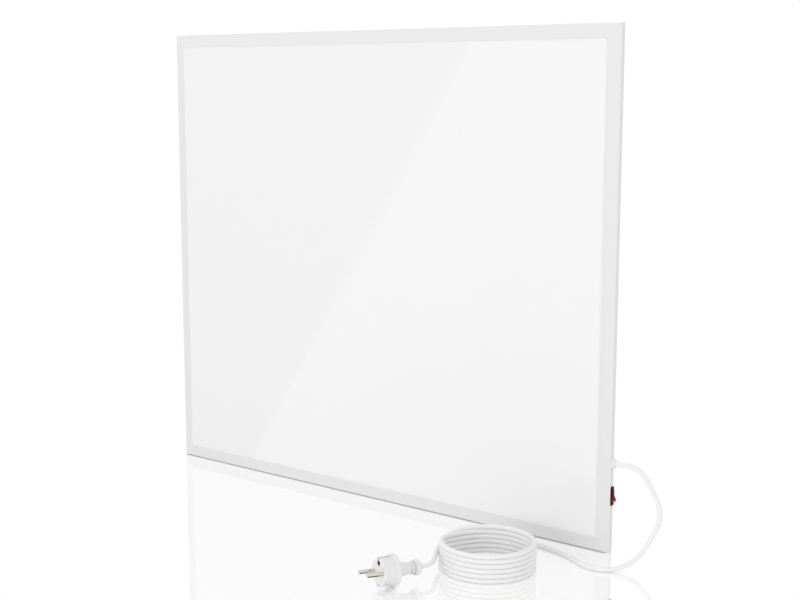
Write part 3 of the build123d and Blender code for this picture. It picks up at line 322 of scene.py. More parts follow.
# %% [markdown]
# Two sides run along X and two along Z. Each bar is four rows of the section: two at its ends and two close to
# them, which keep the smooth shading of the long faces away from the cut ends. A hair's gap stays in each mitre.

# %% Carry the section along the four sides
MITRE_GAP = 0.04 * MM
END_ROW = 0.0004             # how far from the end the second row lies, as a share of the bar's length


def bar(along, outer, length):
    """For each point (u, d): it runs from u to length - u along the side, u in from it, at depth d."""
    u, d = section[:, 0], FRONT + section[:, 1]
    share = np.array([0, END_ROW, 1 - END_ROW, 1.0])[:, None]
    run = (u + MITRE_GAP) + (length - 2 * (u + MITRE_GAP)) * share
    side = np.broadcast_to(u, run.shape)
    deep = np.broadcast_to(d, run.shape)
    if along == "x":
        up = side if outer == "low" else HEIGHT - side
        return np.stack([run - WIDTH / 2, deep, up], -1)
    across = side - WIDTH / 2 if outer == "low" else WIDTH / 2 - side
    return np.stack([across, deep, run], -1)


for name, along, outer, length in (("bottom", "x", "low", WIDTH), ("top", "x", "high", WIDTH),
                                   ("left", "z", "low", HEIGHT), ("right", "z", "high", HEIGHT)):
    piece(f"frame_side_{name}", [bar(along, outer, length)], powder_coat, [f"frame_bar_{name}"])

# %% [markdown]
# ## The radiating plate
#
# The plate is a shallow pressed pan. Its face lies just behind the lip, a fine bead runs round it beside the lip,
# its edge is rolled over a small radius, and a flange behind the lip holds it. All of that is one stack of
# rounded rectangles, from the middle of the face, over the edge, back to the flange and then along the inside
# again, so that the sheet has its real thickness. A row of points close to the bead keeps the face flat up to
# there: without it the smooth shading would bend the mirror image far inwards.

# %% The pan
PAN_CORNER, LEAST_CORNER = 18 * MM, 0.2 * MM                 # measured at the outer side of the frame
pan_rows = np.array([        # inset from the frame's outer side, level along Y, radius of the bend
    (120, -6.4, 0), (18.9, -6.4, 0), (18.3, -6.4, 0.3),      # the face
    (17.9, -6.72, 0.3), (16.56, -6.72, 0.12),                # the bead beside the lip
    (16.56, -2.6, 0.2), (13.0, -2.6, 0.1),                   # the rolled edge and the front of the flange
    (13.0, -2.2, 0), (13.0, -1.8, 0.1),                      # the flange's rim
    (17.6, -1.8, 0.2), (17.6, -5.6, 0.3), (19, -5.6, 0), (120, -5.6, 0)]) * MM       # back along the inside


def pressed_sheet(profile, half_a, half_b, corner, place):
    """Each (inset, level) is the rectangle taken in by that inset, and its corner is smaller by as much."""
    levels = [(half_a - inset, half_b - inset, max(corner - inset, LEAST_CORNER), level)
              for inset, level in profile]
    return stacked(levels, place)


def upright(points):
    """(a, b, height) become X, Z about the middle of the panel, and Y."""
    a, b, h = points[..., 0], points[..., 1], points[..., 2]
    return np.stack([a, h, b + HEIGHT / 2], -1)


pan_profile = soften(pan_rows[:, :2], pan_rows[:, 2], 5, closed=False)
new_point = np.r_[True, np.linalg.norm(np.diff(pan_profile, axis=0), axis=1) > 1e-6]
piece("radiating_plate", [pressed_sheet(pan_profile[new_point], WIDTH / 2, HEIGHT / 2, PAN_CORNER, upright)],
      enamel, ["front_panel"])

# %% [markdown]
# ## Openings in the right side
#
# The switch and the cable bush sit in openings that were punched through the side. The bar's grid could be split
# round them by hand, but a Boolean modifier cuts them as a punch does. Its result becomes the mesh, so no
# modifier is left.

# %% Punch the openings
SWITCH_AT, BUSH_AT = (0.3, 67.5), (0.7, 106.0)               # their centres along Y and Z in millimetres
PUNCH_FROM, PUNCH_TO = 346.0, 353.0          # along X, through the side at 350


def on_side(centre_y, centre_z):
    """Stacks (a, b, height) in millimetres so that height runs along X, a along Y and b along Z."""
    def place(points):
        return (points[..., [2, 0, 1]] + (0, centre_y, centre_z)) * MM
    return place


punches = [stacked([(half_y, half_z, corner, x) for x in (PUNCH_FROM, PUNCH_TO)], on_side(*centre))
           for half_y, half_z, corner, centre in ((2.45, 9.0, 0.45, SWITCH_AT), (3.3, 4.15, 3.25, BUSH_AT))]
punch = in_scene("punch", closed_mesh("punch", punches))
side_right = bpy.data.objects["frame_side_right"]
cut = side_right.modifiers.new("openings", "BOOLEAN")
cut.operation, cut.solver, cut.object = "DIFFERENCE", "EXACT", punch
punched = bpy.data.meshes.new_from_object(side_right.evaluated_get(bpy.context.evaluated_depsgraph_get()))
side_right.modifiers.clear()
side_right.data = punched
punched.set_sharp_from_angle(angle=math.radians(SHARP))
bpy.data.objects.remove(punch)
print("right side with its openings:", len(punched.polygons), "faces")

# %% [markdown]
# ## PVC for the cord
#
# A mains cord has a sheath of soft PVC. It is a little waxy: broad soft highlights, and light that goes a short
# way in. Its surface has a faint drawn grain from the extruder.

# %% White cord PVC
cord_pvc, tree, shader = new_finish("white_pvc_sheath", "#f3f3f3", Roughness=0.42, IOR=1.52,
                                    Specular_IOR_Level=0.25)
where = add(tree, "TexCoord")
grain = add(tree, "TexNoise", {"Scale": 1 / (1.2 * MM), "Detail": 2.0}, {"Vector": where.outputs["Object"]})
skin = add(tree, "Bump", {"Strength": 0.05, "Distance": 0.01 * MM}, {"Height": grain.outputs["Fac"]})
tree.links.new(skin.outputs["Normal"], shader.inputs["Normal"])
print(cord_pvc.name, "with a grain of 1.2 mm")

# %% [markdown]
# ## The cord
#
# The cord is one smooth line, as it left the factory: out of its bush on the side, down to the floor, round
# behind the coil, six turns up, and down again to the plug. A NURBS spline keeps the line smooth between a few
# control points. In the coil the points lie a little outside the real circle, because the spline cuts inside
# its control points. A helix would be shorter to write, but a hand lays flat turns that step up at one place.

# %% The line of the cord
CORD_RADIUS = 2.75 * MM
drop_route = np.array([      # out of the bush and down to the floor, then over the floor to the coil
    (353, 0.7, 106), (363.5, 0.7, 106), (374.6, -1.2, 107.1), (386.4, -5.4, 105.7), (397.4, -11.3, 101.4),
    (408.9, -17.6, 91.2), (419.6, -18.4, 74.4), (420.5, -16.2, 55.4), (412.7, -20.4, 35.7),
    (403.6, -34.9, 13.1), (387.5, -53.3, 2.75), (371, -64, 2.75), (352.1, -62.9, 2.75), (330, -50.5, 2.75),
    (302.7, -40.5, 2.75), (268, -34.5, 2.75), (238, -43.5, 2.75), (217.5, -71.5, 2.75)]) * MM
tail_route = np.array([      # off the top turn and down to the plug
    (210.8, -103.2, 27.3), (206.7, -126.3, 22.9), (210.6, -145, 15.9), (220.4, -163.1, 15.5),
    (228.2, -176.6, 15.9), (235, -187.3, 16.7)]) * MM
coil_centre = np.array([266.0, -127.5]) * MM
COIL_RADIUS, TURNS, PER_TURN = 51.6 * MM, 6, 16
FIRST_ANGLE, CLIMB_FROM, CLIMB_TO = 155.5, 160, 212          # degrees round the coil from +X
SPLINE_PULL = 0.981          # the spline runs at this share of its control points' radius
FIRST_TURN_OUT = 2.1         # how far outside the others the first turn starts, in cord radii
plug_end = np.array([232.0, -209.6, 16.261]) * MM            # where the cord enters the plug
plug_axis = np.array([-0.39000, -0.91879, 0.06105])
STRAIGHT = 9.5 * MM          # the cord's straight piece before the plug


def coil_points():
    """Flat turns one diameter apart. Each turn but the first climbs one diameter within the same angles, on the
    left, by the smooth step s = 3t^2 - 2t^3. The first rolls in under it from outside: its radius is
    R + d * sqrt(1 - s^2). The points lie at that radius over the spline's pull."""
    angle = FIRST_ANGLE + np.arange(TURNS * PER_TURN) * 360 / PER_TURN
    turns = (angle - CLIMB_FROM) / 360
    whole = np.floor(turns)
    t = np.clip((turns - whole) * 360 / (CLIMB_TO - CLIMB_FROM), 0, 1)
    step = t * t * (3 - 2 * t)
    height = CORD_RADIUS + 2 * CORD_RADIUS * np.clip(whole - 1 + step, 0, TURNS - 1)
    rolled = np.where(whole < 0, 0, np.where(whole < 1, step, 1))
    ring = (COIL_RADIUS + FIRST_TURN_OUT * CORD_RADIUS * np.sqrt(1 - rolled ** 2)) / SPLINE_PULL
    turn = np.radians(angle)
    return np.stack([coil_centre[0] + ring * np.cos(turn), coil_centre[1] + ring * np.sin(turn), height], -1)


line = np.concatenate([drop_route, coil_points(), tail_route, [plug_end - plug_axis * STRAIGHT, plug_end]])
curve = bpy.data.curves.new("mains_cord", "CURVE")
curve.dimensions = "3D"
curve.bevel_depth = CORD_RADIUS
curve.bevel_resolution = 6
curve.resolution_u = 6
curve.use_fill_caps = True
spline = curve.splines.new("NURBS")
spline.points.add(len(line) - 1)
spline.points.foreach_set("co", np.column_stack([line, np.ones(len(line))]).ravel())
spline.order_u = 3
spline.use_endpoint_u = True
curve.materials.append(cord_pvc)
mains_cord = in_scene("mains_cord", curve)
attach(mains_cord, "panel")
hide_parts("cord_drop", "cord_coil", "cord_tail")
print("control points of the cord:", len(line))

# %% [markdown]
# ## The plug
#
# The plug is one soft PVC moulding over the pins. Nearly all of it is turned: a flat face, a side, a flange for
# the fingers, a neck with two flex grooves and a bulb at the end. Only three things break the symmetry: the hole
# for the earth pin in the face, and a groove at the top and at the bottom for the earth contacts. A grid can hold
# all of it. Its rows start inside the hole, spread over the face to the rim, and run down the side to the cord.

# %% Soft PVC for the plug
plug_pvc = moulded("white_moulded_pvc", "#f0f0f0", "#eaeaea", 0.5 * MM, 0.006 * MM, Roughness=0.34, IOR=1.53,
                   Specular_IOR_Level=0.3)
print(plug_pvc.name, "with a spark grain of 0.5 mm")

# %% [markdown]
# The plug is drawn upright about its own axis in millimetres, and then each point is put in its place: across,
# up and along the axis, from the middle of its face. It lies rolled a few degrees on the floor. The columns of
# its grid over the two grooves keep their place sideways, so that their floor is flat and their walls straight.

# %% Plug coordinates
PLUG_LENGTH, ROLL = 50 * MM, math.radians(7)
plug_face = plug_end + plug_axis * PLUG_LENGTH
across = np.array([-plug_axis[1], plug_axis[0], 0]) / math.hypot(plug_axis[0], plug_axis[1])
upward = np.cross(plug_axis, across)
plug_axes = np.array([across * math.cos(ROLL) + upward * math.sin(ROLL),
                      upward * math.cos(ROLL) - across * math.sin(ROLL), plug_axis])


def on_plug(points):
    """Points in millimetres: across, up and out of the face."""
    return plug_face + points @ plug_axes * MM


GROOVE_HALF, GROOVE_FLOOR, GROOVE_LENGTH = 2.8, 13.2, 13.6   # half its width, its floor's radius, its length
HOLE_AT, HOLE, HOLE_DEPTH = 9.4, 3.3, 14     # the earth hole's centre, radius and depth
FACE_RADIUS, RIM, GROOVED_SIDE = 14.7, 0.9, 15.7             # the flat face, its rim's rounding, and the side
side_steps = np.linspace(0, 1, 34)[1:-1]


def plug_outline(radius, out, floor=None):
    """A circle of that radius whose points over the grooves have fixed x, so that they can drop to the floor."""
    x = GROOVE_HALF * np.array([-1, -1, -0.5, 0, 0.5, 1, 1])
    y = np.sqrt(radius ** 2 - x ** 2)
    if floor:
        y[1:-1] = floor
    start = math.asin(GROOVE_HALF / radius)
    angle = start + (math.pi - 2 * start) * side_steps
    xs = np.concatenate([x, radius * np.sin(angle), x[::-1], -radius * np.sin(angle[::-1])])
    ys = np.concatenate([y, radius * np.cos(angle), -y, radius * np.cos(angle[::-1])])
    return np.column_stack([xs, ys, np.full(len(xs), out)])


def hole_ring(centre, radius, out):
    """The same columns on a circle round (0, centre), at the angles that they have on the face's inner ring."""
    ring = plug_outline(GROOVE_FLOOR - 0.1, 0)
    ring = ring / np.linalg.norm(ring, axis=1)[:, None]
    return np.column_stack([ring[:, 0] * radius, centre + ring[:, 1] * radius, np.full(len(ring), out)])


print("the plug's face lies at", (plug_face / MM).round(1), "mm")

# %% [markdown]
# Now the rows, from the bottom of the earth hole outwards. The side behind the grooves is a softened outline of
# (out of the face, radius): collar, flange for the fingers, neck, two flex grooves and the end bulb.

# %% The plug's rows
rows = [hole_ring(HOLE_AT, HOLE + wider, out)
        for wider, out in ((0, -HOLE_DEPTH), (0, -0.3), (0.06, -0.08), (0.15, 0))]
rows += [hole_ring(HOLE_AT * (1 - t), HOLE + 0.15 + (GROOVE_FLOOR - 0.25 - HOLE) * t, 0)
         for t in (0.3, 0.65, 0.99)]
rows += [plug_outline(FACE_RADIUS + RIM * math.sin(a), -RIM * (1 - math.cos(a)), GROOVE_FLOOR)
         for a in np.radians([0, 18, 36, 54, 72, 90])]
rows += [plug_outline(GROOVED_SIDE, out, GROOVE_FLOOR)
         for out in (-5, -9, -GROOVE_LENGTH + 0.1, -GROOVE_LENGTH)]
neck_bend = np.linspace(0, 1, 9)[:, None]
neck_curve = ((1 - neck_bend) ** 2 * (-20.4, 11.8) + 2 * neck_bend * (1 - neck_bend) * (-25.0, 7.2)
              + neck_bend ** 2 * (-37.6, 6.2))
flange = [(-GROOVE_LENGTH, 15.76), (-15, 15.8), (-15, 18.2), (-18.8, 18.2), (-18.8, 16.4), (-20.0, 12.6)]
flex_grooves = [(-37.6, 5.0), (-39.4, 5.0), (-39.4, 6.9), (-41.2, 6.9), (-41.2, 5.0), (-43.2, 5.0), (-43.2, 8.2)]
bulb = [(-45.8, 8.8), (-48.8, 8.4), (-50, 5.8), (-50, 4.4)]
bends = [0, 0.25, 0.9, 0.9, 1.0, 1.5] + [1.5] * 8 + [0.3] + [0.35] * 6 + [0.6, 3, 1.6, 0.8, 0]
behind = soften(flange + neck_curve.tolist() + flex_grooves + bulb, bends, 5, closed=False)
behind = behind[np.r_[True, np.linalg.norm(np.diff(behind, axis=0), axis=1) > 1e-4]]
rows += [plug_outline(radius, out) for out, radius in behind]
plug = piece("plug_moulding", [on_plug(np.array(rows))], plug_pvc, ["plug_body"], sharp=48)

# %% [markdown]
# ## The pins
#
# The two pins are turned from brass and nickel plated, 4.8 mm thick and 19 mm long, with a rounded tip. A turned
# part is a profile of (height, radius) carried round an axis. A cylinder with a Bevel modifier comes close, but
# the profile gives the root and the tip each its own radius. Nickel is a warm grey metal, polished here, and the
# earth contacts have the same plating.

# %% Nickel plate and turned pieces
PIN_RADIUS, PIN_LENGTH, PIN_ROOT, PIN_APART = 2.4, 19, 8, 19
nickel = plated("nickel_plated_brass", "#e2dfd6", "#cbc7bb", 0.05, 0.12, 4 * MM, 0.002 * MM)


def turned(profile, columns=40):
    """Each (height, radius) becomes the ring (radius * cos, radius * sin, height)."""
    profile = np.asarray(profile, float)
    angle = np.linspace(0, 2 * math.pi, columns, endpoint=False)
    height, radius = np.broadcast_to(profile[:, :1], (len(profile), columns)), profile[:, 1:]
    return np.stack([radius * np.cos(angle), radius * np.sin(angle), height], -1)


pin = turned(soften([(-PIN_ROOT, 1.8), (-0.02, 1.8), (-0.02, PIN_RADIUS), (PIN_LENGTH, PIN_RADIUS),
                     (PIN_LENGTH, 0.5)], [0, 0, 0.1, 1.7, 0], 7, closed=False))
pins = piece("plug_pins_turned", [on_plug(pin + (side * PIN_APART / 2, 0, 0)) for side in (-1, 1)], nickel,
             ["plug_pins"])
dress(nickel, "plug_earth_clips")

# %% [markdown]
# ## The cable bush
#
# The cord leaves the side through an oblong nylon bush with a domed head. It is a stack of rounded rectangles:
# the neck in the wall, the head, its dome, and then the bore back down. The dome's levels follow a quarter of an
# ellipse: half = half - shrink * (1 - cos), height = base + rise * sin.

# %% Nylon and the bush
nylon = moulded("natural_nylon", "#f0f0f0", "#e8e8e7", 0.4 * MM, 0.008 * MM, Roughness=0.38, IOR=1.53,
                Specular_IOR_Level=0.35)
SIDE, BUSH_BACK = 350.0, 347.6               # the outer side of the frame and the bush's inner end, along X
neck = [(3.25, 4.1, 3.2, BUSH_BACK), (3.25, 4.1, 3.2, SIDE), (3.3, 5.6, 3.25, SIDE)]
dome = [(3.3 - 0.42 * (1 - math.cos(a)), 5.6 - 1.5 * (1 - math.cos(a)), 3.25 - 0.42 * (1 - math.cos(a)),
         352.2 + 1.7 * math.sin(a)) for a in np.linspace(0, math.pi / 2, 8)]
bore = [(2.82, 2.9, 2.81, 353.9), (2.78, 2.78, 2.77, 353.7), (2.78, 2.78, 2.77, BUSH_BACK)]
piece("cord_bush", [stacked(neck + dome + bore, on_side(*BUSH_AT))], nylon, ["cable_bush"])

# %% [markdown]
# ## The switch
#
# The rocker switch snaps into the side from outside. Its body is one open box of glass-filled nylon with a bezel,
# black and with a fine satin skin from the mould. It is a stack of rounded rectangles too: up the outside, over
# the bezel's rounded rim, and down the inside to the floor of the box.

# %% Black polyamide and the housing
black_nylon = moulded("black_glass_filled_nylon", "#09090a", "#101011", 0.35 * MM, 0.01 * MM, Roughness=0.4,
                      IOR=1.53, Specular_IOR_Level=0.15)
BEZEL_HALF_Y, BEZEL_HALF_Z, BEZEL_RIM, BEZEL_TOP = 3.2, 11.1, 0.35, 351.2
box = [(2.4, 8.95, 0.4, 338.5), (2.4, 8.95, 0.4, SIDE), (BEZEL_HALF_Y, BEZEL_HALF_Z, 0.45, SIDE)]
bezel = [(BEZEL_HALF_Y - BEZEL_RIM * (1 - math.cos(a)), BEZEL_HALF_Z - BEZEL_RIM * (1 - math.cos(a)), 0.45,
          BEZEL_TOP - BEZEL_RIM * (1 - math.sin(a))) for a in np.linspace(0, math.pi / 2, 6)]
inside = [(2.1, 8.6, 0.25, BEZEL_TOP), (2.02, 8.52, 0.2, 351.12), (2.0, 8.5, 0.2, 350.9), (2.0, 8.5, 0.2, 339.7)]
piece("switch_bezel", [stacked(box + bezel + inside, on_side(*SWITCH_AT))], black_nylon, ["switch_housing"])

# %% [markdown]
# ## The rocker
#
# The rocker is clear red polycarbonate with a neon lamp behind its lower half. The lamp's glow is painted into
# its colour: bright red low down and nearly black red above. It stands with its top pressed in. Seen from its
# pivot it has two flats that meet in the middle and two ends that are arcs about the pivot, which is why it can
# swing without a gap. That outline is carried across its width, a little smaller at both sides, so that its long
# edges are round. The axle and the stem under it are turned.

# %% Red polycarbonate
red_clear, tree, shader = new_finish("red_polycarbonate_with_painted_glow", "#8a0a0c", Roughness=0.12, IOR=1.58,
                                     Transmission_Weight=0.25, Specular_IOR_Level=0.2)
where = add(tree, "TexCoord")
parts = add(tree, "SeparateXYZ", None, {0: where.outputs["Object"]})
# Painted glow of the lamp: the colour runs from bright red below 60 mm to nearly black red above 65.5 mm.
painted_lamp_glow = add(tree, "MapRange", {"From Min": 60.0 * MM, "From Max": 65.5 * MM, "To Min": 1.0, "To Max": 0.0},
          {"Value": parts.outputs["Z"]})
tone = add(tree, "Mix", {"data_type": "RGBA", 6: linear("#6a0708"), 7: linear("#ee2018")},
           {0: painted_lamp_glow.outputs["Result"]})
flow = add(tree, "TexNoise", {"Scale": 1 / (0.8 * MM), "Detail": 2.0}, {"Vector": where.outputs["Object"]})
skin = add(tree, "Bump", {"Strength": 0.3, "Distance": 0.002 * MM}, {"Height": flow.outputs["Fac"]})
tree.links.new(tone.outputs[2], shader.inputs["Base Color"])
tree.links.new(skin.outputs["Normal"], shader.inputs["Normal"])
print(red_clear.name, "glows below 65.5 mm")

# %% The rocker's outline
TILT, HALF, SKIRT = math.radians(13), 6.0, 1.2               # rest tilt, half its length, depth of the skirt
PIVOT_X, PIVOT_Y, PIVOT_Z = 348.8, *SWITCH_AT
HALF_WIDTH, SIDE_ROUNDING = 1.8, 0.25
crown = 3.8 / math.cos(TILT)
tip = crown + HALF * math.tan(TILT)
swing = math.hypot(tip, HALF)


def rocker_outline():
    """Two flats that meet in the middle, two arcs about the pivot and a straight skirt, as (s, t): s stands out
    from the pivot and t runs up."""
    low, high = math.atan2(HALF, tip), math.atan2(math.sqrt(swing ** 2 - SKIRT ** 2), -SKIRT)
    arc = np.linspace(low, high, 12)[1:]
    ends = np.stack([swing * np.cos(arc), swing * np.sin(arc)], -1)
    corners = np.concatenate([[(crown, 0), (tip, HALF)], ends, ends[::-1] * (1, -1), [(tip, -HALF)]])
    return soften(corners, [0.6, 0.4] + [0.1] * (len(corners) - 3) + [0.4], 4)


def on_rocker(points):
    """Points (s, y, t) turned by the rest tilt about the pivot: the top goes in and the bottom comes out."""
    s, y, t = points[..., 0], points[..., 1], points[..., 2]
    return np.stack([PIVOT_X + s * math.cos(TILT) - t * math.sin(TILT), PIVOT_Y + y,
                     PIVOT_Z + s * math.sin(TILT) + t * math.cos(TILT)], -1) * MM


outline = rocker_outline()
print("points of the rocker's outline:", len(outline), "swing in mm:", round(swing, 2))

# %% The rocker
quarter = np.linspace(0, math.pi / 2, 5)
turn = np.concatenate([quarter - math.pi / 2, quarter])      # the rounding of the one side, then of the other
widths = np.repeat([-1, 1], 5) * (HALF_WIDTH - SIDE_ROUNDING) + SIDE_ROUNDING * np.sin(turn)
inset = SIDE_ROUNDING * (1 - np.cos(turn))
middle, half_size = np.array([1.5, 0.0]), (2.9, 6.9)         # of the outline, as (s, t)
shrunk = middle + (outline[None] - middle) * (1 - inset[:, None, None] / half_size)
cap = np.stack([shrunk[..., 0], np.broadcast_to(widths[:, None], shrunk.shape[:2]), shrunk[..., 1]], -1)
stem = turned([(-1.0, 1.1), (-4.2, 1.1), (-4.2, 1.5), (-0.9, 1.5)], 24)[..., [2, 0, 1]]
axle = turned([(1.4, 0.8), (2.3, 0.8)], 20)[..., [0, 2, 1]]
for name, grids in (("switch_rocker_cap", [cap]), ("switch_rocker_stem", [stem, axle, axle * (1, -1, 1)])):
    piece(name, [on_rocker(grid) for grid in grids], red_clear, ["switch_rocker"], body="rocker")

# %% [markdown]
# ## Sheet metal at the back
#
# The tray behind the panel and the service cover are hot-dip galvanised steel. Zinc freezes on the steel in large
# flat crystals, the spangle: patches some millimetres wide, each with its own grey and its own gloss. Voronoi
# cells are just that. The brackets, screws and clips are electroplated instead, which is finer and more even.

# %% Spangled zinc
spangle, tree, shader = new_finish("hot_dip_galvanised_steel", "#c3c6c9", Metallic=1.0)
where = add(tree, "TexCoord")
crystal = add(tree, "TexVoronoi", {"Scale": 1 / (7 * MM), "Randomness": 1.0}, {"Vector": where.outputs["Object"]})
frost = add(tree, "TexNoise", {"Scale": 1 / (1.0 * MM), "Detail": 3.0}, {"Vector": where.outputs["Object"]})
tone = add(tree, "Mix", {"data_type": "RGBA", 6: linear("#cdd0d2"), 7: linear("#b4b8bc")},
           {0: crystal.outputs["Color"]})
gloss = add(tree, "MapRange", {"To Min": 0.34, "To Max": 0.5}, {"Value": crystal.outputs["Color"]})
skin = add(tree, "Bump", {"Strength": 0.25, "Distance": 0.02 * MM}, {"Height": frost.outputs["Fac"]})
tree.links.new(tone.outputs[2], shader.inputs["Base Color"])
tree.links.new(gloss.outputs["Result"], shader.inputs["Roughness"])
tree.links.new(skin.outputs["Normal"], shader.inputs["Normal"])
dress(spangle, "back_cover", "service_cover")

# %% Electroplated zinc, and rivets of aluminium
bright_zinc = plated("bright_electroplated_zinc", "#cdd0d4", "#bdc1c6", 0.26, 0.38, 9 * MM, 0.01 * MM)
dress(bright_zinc, "wall_brackets", "rim_screws", "service_screws", "panel_clips", "corner_keys",
      "terminal_screws", "earth_screw", "earth_nut", "plunger_spring")
rivet_metal = plated("drawn_aluminium", "#d6d7d9", "#c8cacc", 0.28, 0.4, 3 * MM, 0.008 * MM)
dress(rivet_metal, "bracket_rivets")

# %% [markdown]
# ## What lies behind the plate
#
# The heating film is carbon printed in bands on clear film, with a copper busbar along each side. Bright foil
# sends the heat forward and a batt of glass wool keeps it from the back. These show only when the heater is
# taken apart, but each still gets the finish of the real thing.

# %% Film, busbars, foil and wool
def waves(width):
    """The Wave Texture's scale for bands of that width: it repeats 20 / 2 pi times per unit."""
    return 2 * math.pi / (20 * width)


film, tree, shader = new_finish("carbon_printed_film", "#1d1d20", Roughness=0.42, IOR=1.55)
where = add(tree, "TexCoord")
bands = add(tree, "TexWave", {"bands_direction": "X", "Scale": waves(12 * MM), "Distortion": 0.0},
            {"Vector": where.outputs["Object"]})
print_edge = add(tree, "Math", {"operation": "GREATER_THAN", 1: 0.12}, {0: bands.outputs["Fac"]})
tone = add(tree, "Mix", {"data_type": "RGBA", 6: linear("#6d6a62"), 7: linear("#1d1d20")},
           {0: print_edge.outputs[0]})
tree.links.new(tone.outputs[2], shader.inputs["Base Color"])
dress(film, "heating_film")
copper = plated("rolled_copper_foil", "#d99a7c", "#c4805f", 0.24, 0.4, 12 * MM, 0.006 * MM)
dress(copper, "busbars")
brass = plated("drawn_brass", "#d8bb74", "#c6a75f", 0.2, 0.34, 3 * MM, 0.006 * MM)
dress(brass, "plug_earth_sleeve", "solder_pads", "switch_plunger", "contact_bridge", "switch_terminals")
dress(nickel, "earth_ring", "cord_ferrule")
foil = plated("bright_aluminium_foil", "#e3e4e6", "#d3d4d7", 0.12, 0.26, 18 * MM, 0.15 * MM)
dress(foil, "reflector_foil")
wool, tree, shader = new_finish("glass_wool_batt", "#dccb95", Roughness=0.95)
where = add(tree, "TexCoord")
lay = add(tree, "Mapping", {"Scale": (0.25, 1.0, 1.0)}, {"Vector": where.outputs["Object"]})
fibre = add(tree, "TexNoise", {"Scale": 1 / (1.2 * MM), "Detail": 5.0, "Distortion": 1.5},
            {"Vector": lay.outputs[0]})
tone = add(tree, "Mix", {"data_type": "RGBA", 6: linear("#efe2b4"), 7: linear("#bfa96c")},
           {0: fibre.outputs["Fac"]})
felt = add(tree, "Bump", {"Strength": 1.0, "Distance": 0.8 * MM}, {"Height": fibre.outputs["Fac"]})
tree.links.new(tone.outputs[2], shader.inputs["Base Color"])
tree.links.new(felt.outputs["Normal"], shader.inputs["Normal"])
dress(wool, "insulation_batt")

# %% [markdown]
# ## The wiring bay
#
# Wire insulation is soft PVC in the three mains colours: brown for live, blue for neutral, green with yellow for
# earth. The blocks and the cut-out are nylon, and the sleeves over the push-on terminals are clear.

# %% Plastics of the wiring bay
dress(nylon, "terminal_block", "thermal_cutout")
dress(moulded("clear_nylon_sleeve", "#e6e6e2", "#dcdcd6", 0.5 * MM, 0.01 * MM, Roughness=0.25, IOR=1.53,
              Transmission_Weight=0.7), "tab_receptacles")
dress(moulded("silicone_gasket", "#e9e9e6", "#dfdfdb", 0.6 * MM, 0.02 * MM, Roughness=0.6, IOR=1.42),
      "panel_seal")
dress(moulded("brown_pvc_insulation", "#5b3420", "#4e2b1a", 0.5 * MM, 0.01 * MM, Roughness=0.38, IOR=1.53),
      "cord_cores", "live_leads")
dress(moulded("blue_pvc_insulation", "#2a63b4", "#2358a5", 0.5 * MM, 0.01 * MM, Roughness=0.38, IOR=1.53),
      "neutral_leads")
dress(cord_pvc, "cord_inner")
dress(moulded("neon_lamp_glass", "#ffb27a", "#f9a468", 1.0 * MM, 0.001 * MM, Roughness=0.05, IOR=1.5,
              Transmission_Weight=0.9), "switch_lamp")
earth_pvc, tree, shader = new_finish("green_and_yellow_pvc_insulation", "#3f9a3a", Roughness=0.38, IOR=1.53)
where = add(tree, "TexCoord")
twist = add(tree, "TexWave", {"bands_direction": "DIAGONAL", "Scale": waves(2.4 * MM)},
            {"Vector": where.outputs["Object"]})
stripe = add(tree, "Math", {"operation": "GREATER_THAN", 1: 0.5}, {0: twist.outputs["Fac"]})
tone = add(tree, "Mix", {"data_type": "RGBA", 6: linear("#3f9a3a"), 7: linear("#e6cf2c")}, {0: stripe.outputs[0]})
tree.links.new(tone.outputs[2], shader.inputs["Base Color"])
dress(earth_pvc, "earth_lead")

# %% [markdown]
# ## The floor
#
# The heater was photographed on glossy white. To the camera the floor is an even white glow with painted contact
# shade: the glow is darkened where something nearly touches it, which the Ambient Occlusion node finds within a
# few millimetres, and the shade is painted deeper from just in front of the panel backwards, darkest in the thin
# gap along the frame's front. A thin mirror coat shows the heater faintly. To every other ray the floor is a pale
# matt ground that sends real light back up.

# %% The floor
def prop(name, corners, face, finish):
    """One flat face of the studio, which is no piece of the heater."""
    mesh = bpy.data.meshes.new(name)
    mesh.from_pydata(corners, [], [face])
    mesh.materials.append(finish)
    thing = in_scene(name, mesh)
    return thing


def blank_finish(name):
    """A material with no nodes yet."""
    finish = bpy.data.materials.new(name)
    finish.use_nodes = True
    finish.node_tree.nodes.clear()
    return finish, finish.node_tree


NEARNESS, COAT = 6.5 * MM, 0.42
DEEP, FAINT = 3.4, 0.15      # powers of the nearness shade, in the gap and elsewhere
floor_finish, tree = blank_finish("white_glossy_floor")
ray = add(tree, "LightPath")
touch = add(tree, "AmbientOcclusion", {"Distance": NEARNESS, "samples": 8})
place = add(tree, "SeparateXYZ", None, {0: add(tree, "TexCoord").outputs["Object"]})
# Painted contact shade: the AO is raised to the power DEEP from 20 mm in front of the panel backwards, within its
# width, and FAINT elsewhere.
near_panel = add(tree, "MapRange", {"From Min": -30 * MM, "From Max": -20 * MM}, {"Value": place.outputs["Y"]})
sideways = add(tree, "Math", {"operation": "ABSOLUTE"}, {0: place.outputs["X"]})
within = add(tree, "MapRange", {"From Min": 343 * MM, "From Max": 347 * MM, "To Min": DEEP, "To Max": FAINT},
             {"Value": sideways.outputs[0]})
under_panel = add(tree, "Math", {"operation": "MULTIPLY"},
                  {0: near_panel.outputs["Result"], 1: within.outputs["Result"]})
power = add(tree, "Math", {"operation": "MAXIMUM", 1: FAINT}, {0: under_panel.outputs[0]})
painted_contact_shade = add(tree, "Math", {"operation": "POWER"}, {0: touch.outputs["AO"], 1: power.outputs[0]})
white = add(tree, "Emission", {"Color": (1, 1, 1, 1)}, {"Strength": painted_contact_shade.outputs[0]})
coat = add(tree, "BsdfGlossy", {"Color": (1, 1, 1, 1), "Roughness": 0.02})
